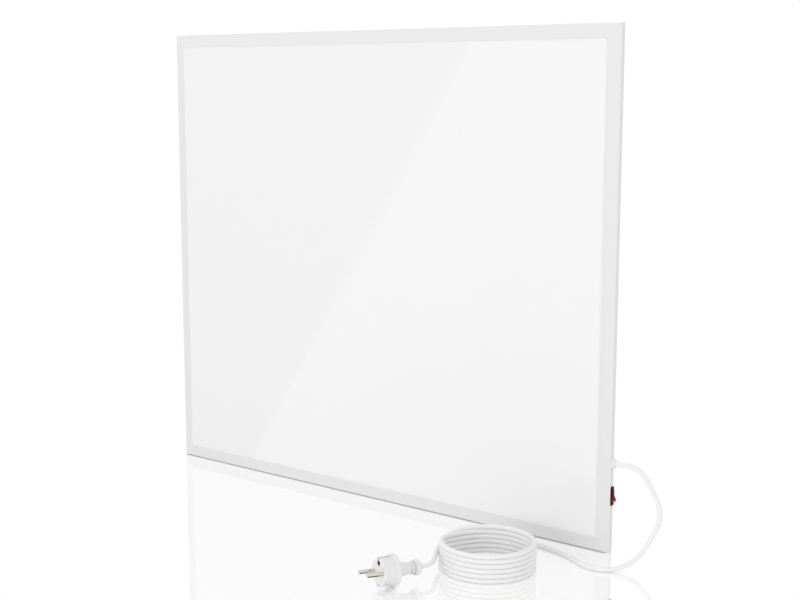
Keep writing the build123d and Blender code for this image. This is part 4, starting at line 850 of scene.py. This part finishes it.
coated = add(tree, "MixShader", {0: COAT}, {1: white.outputs[0], 2: coat.outputs[0]})
ground = add(tree, "BsdfDiffuse", {"Color": linear("#ffffff")})
both = add(tree, "MixShader", None, {0: ray.outputs["Is Camera Ray"], 1: ground.outputs[0], 2: coated.outputs[0]})
add(tree, "OutputMaterial", None, {"Surface": both.outputs[0]})
floor = prop("floor", [(-8, -6, 0), (8, -6, 0), (8, 10, 0), (-8, 10, 0)], (0, 1, 2, 3), floor_finish)
floor.visible_glossy = False
print("floor of", floor.dimensions.x, "by", floor.dimensions.y, "m")

# %% [markdown]
# ## The room and the lamp
#
# A white tent would light the heater evenly from all sides, and an even world does the same. The camera and every
# mirror see it as plain white. One wide soft lamp from the front, low over the floor, gives the cove of the frame
# its slight shade.

# %% The room
ROOM = 0.86
world = bpy.data.worlds.new("white_room")
bpy.context.scene.world = world
world.use_nodes = True
tree = world.node_tree
tree.nodes.clear()
ray = add(tree, "LightPath")
mirror = add(tree, "Math", {"operation": "MAXIMUM"},
             {0: ray.outputs["Is Camera Ray"], 1: ray.outputs["Is Glossy Ray"]})
direct = add(tree, "Math", {"operation": "MAXIMUM"}, {0: mirror.outputs[0], 1: ray.outputs["Is Transmission Ray"]})
strength = add(tree, "Mix", {"A": ROOM, "B": 1.0}, {"Factor": direct.outputs[0]})
glow = add(tree, "Background", {"Color": (1, 1, 1, 1)}, {"Strength": strength.outputs["Result"]})
add(tree, "OutputWorld", None, {"Surface": glow.outputs[0]})
print("strength of the room:", ROOM)

# %% The lamp
LAMP_STRENGTH, LAMP_ANGLE, SHINES_ALONG = 0.61, 40, Vector((0.05, 0.97, -0.18))
lamp_data = bpy.data.lights.new("soft_window", "SUN")
lamp_data.energy = LAMP_STRENGTH
lamp_data.angle = math.radians(LAMP_ANGLE)
lamp = in_scene("soft_window", lamp_data)
lamp.visible_glossy = False
lamp.rotation_euler = SHINES_ALONG.to_track_quat("-Z", "Y").to_euler()
print("lamp of strength", LAMP_STRENGTH, "over", LAMP_ANGLE, "degrees")

# %% [markdown]
# ## Something to mirror
#
# A gloss surface only looks glossy when there is something to mirror. Here it is the edge of a large grey card
# that lies nearly flat in front of the heater on the left and rises gently away from it. Only mirror rays see it,
# so it adds no light and no shadow, and only from above, so that the floor doesn't mirror its underside. A small
# black strip under the plug gives the polished pins the dark streak that tells them from grey plastic.

# %% The studio card and flag
def for_mirrors(thing):
    """Only mirror rays see it, and it throws no shadow."""
    thing.visible_camera = thing.visible_diffuse = thing.visible_shadow = thing.visible_transmission = False


card_finish, tree = blank_finish("grey_card")
below = add(tree, "NewGeometry")
shade = add(tree, "MapRange", {"To Min": 0.28, "To Max": 1.0}, {"Value": below.outputs["Backfacing"]})
grey = add(tree, "Emission", {"Color": (1, 1, 1, 1)}, {"Strength": shade.outputs["Result"]})
add(tree, "OutputMaterial", None, {"Surface": grey.outputs[0]})
card_finish.cycles.emission_sampling = "NONE"
for_mirrors(prop("grey_card", [(-0.2509, -0.03, -0.0164), (-26.0656, -40, 4.78), (-80, -40, 4.78),
                               (-80, -0.03, -0.0164)], (0, 3, 2, 1), card_finish))
velvet = new_finish("black_velvet", "#050505")[0]
for_mirrors(prop("black_flag", [(0.2209, -0.2461, -0.003), (0.2029, -0.2883, -0.003), (0.2406, -0.3043, -0.003),
                                (0.2586, -0.2621, -0.003)], (0, 1, 2, 3), velvet))

# %% [markdown]
# ## The camera
#
# The photograph was taken from the right, a little above the middle of the panel. The camera's place and lens were
# worked out from the panel's four corners. The cell prints where these corners fall in an image of 800 by 600.

# %% The camera
AZIMUTH, ELEVATION, CAMERA_ROLL = math.radians(37.824), math.radians(8.949), math.radians(0.07)
CAMERA_AT = Vector((1.08333, -1.34050, 0.53221))
LENS, SENSOR, IMAGE_WIDTH, IMAGE_HEIGHT = 61.3545, 36, 800, 600
back = Vector((math.sin(AZIMUTH) * math.cos(ELEVATION), -math.cos(AZIMUTH) * math.cos(ELEVATION),
               math.sin(ELEVATION)))
right_hand = Vector((math.cos(AZIMUTH), math.sin(AZIMUTH), 0))
axes = Matrix((right_hand, back.cross(right_hand), back)).transposed() @ Matrix.Rotation(CAMERA_ROLL, 3, "Z")
camera_data = bpy.data.cameras.new("photographer")
camera_data.lens, camera_data.sensor_width = LENS, SENSOR
camera = in_scene("photographer", camera_data)
camera.matrix_world = Matrix.Translation(CAMERA_AT) @ axes.to_4x4()
bpy.context.scene.camera = camera
for x, z in ((-WIDTH / 2, HEIGHT), (WIDTH / 2, HEIGHT), (-WIDTH / 2, 0), (WIDTH / 2, 0)):
    seen = axes.transposed() @ (Vector((x, FRONT, z)) - CAMERA_AT)
    scale = LENS / SENSOR * IMAGE_WIDTH / -seen.z
    print("corner", round(x / MM), round(z / MM), "pixel", round(IMAGE_WIDTH / 2 + seen.x * scale, 1),
          round(IMAGE_HEIGHT / 2 - seen.y * scale, 1))
bpy.context.scene.view_settings.view_transform = "Standard"
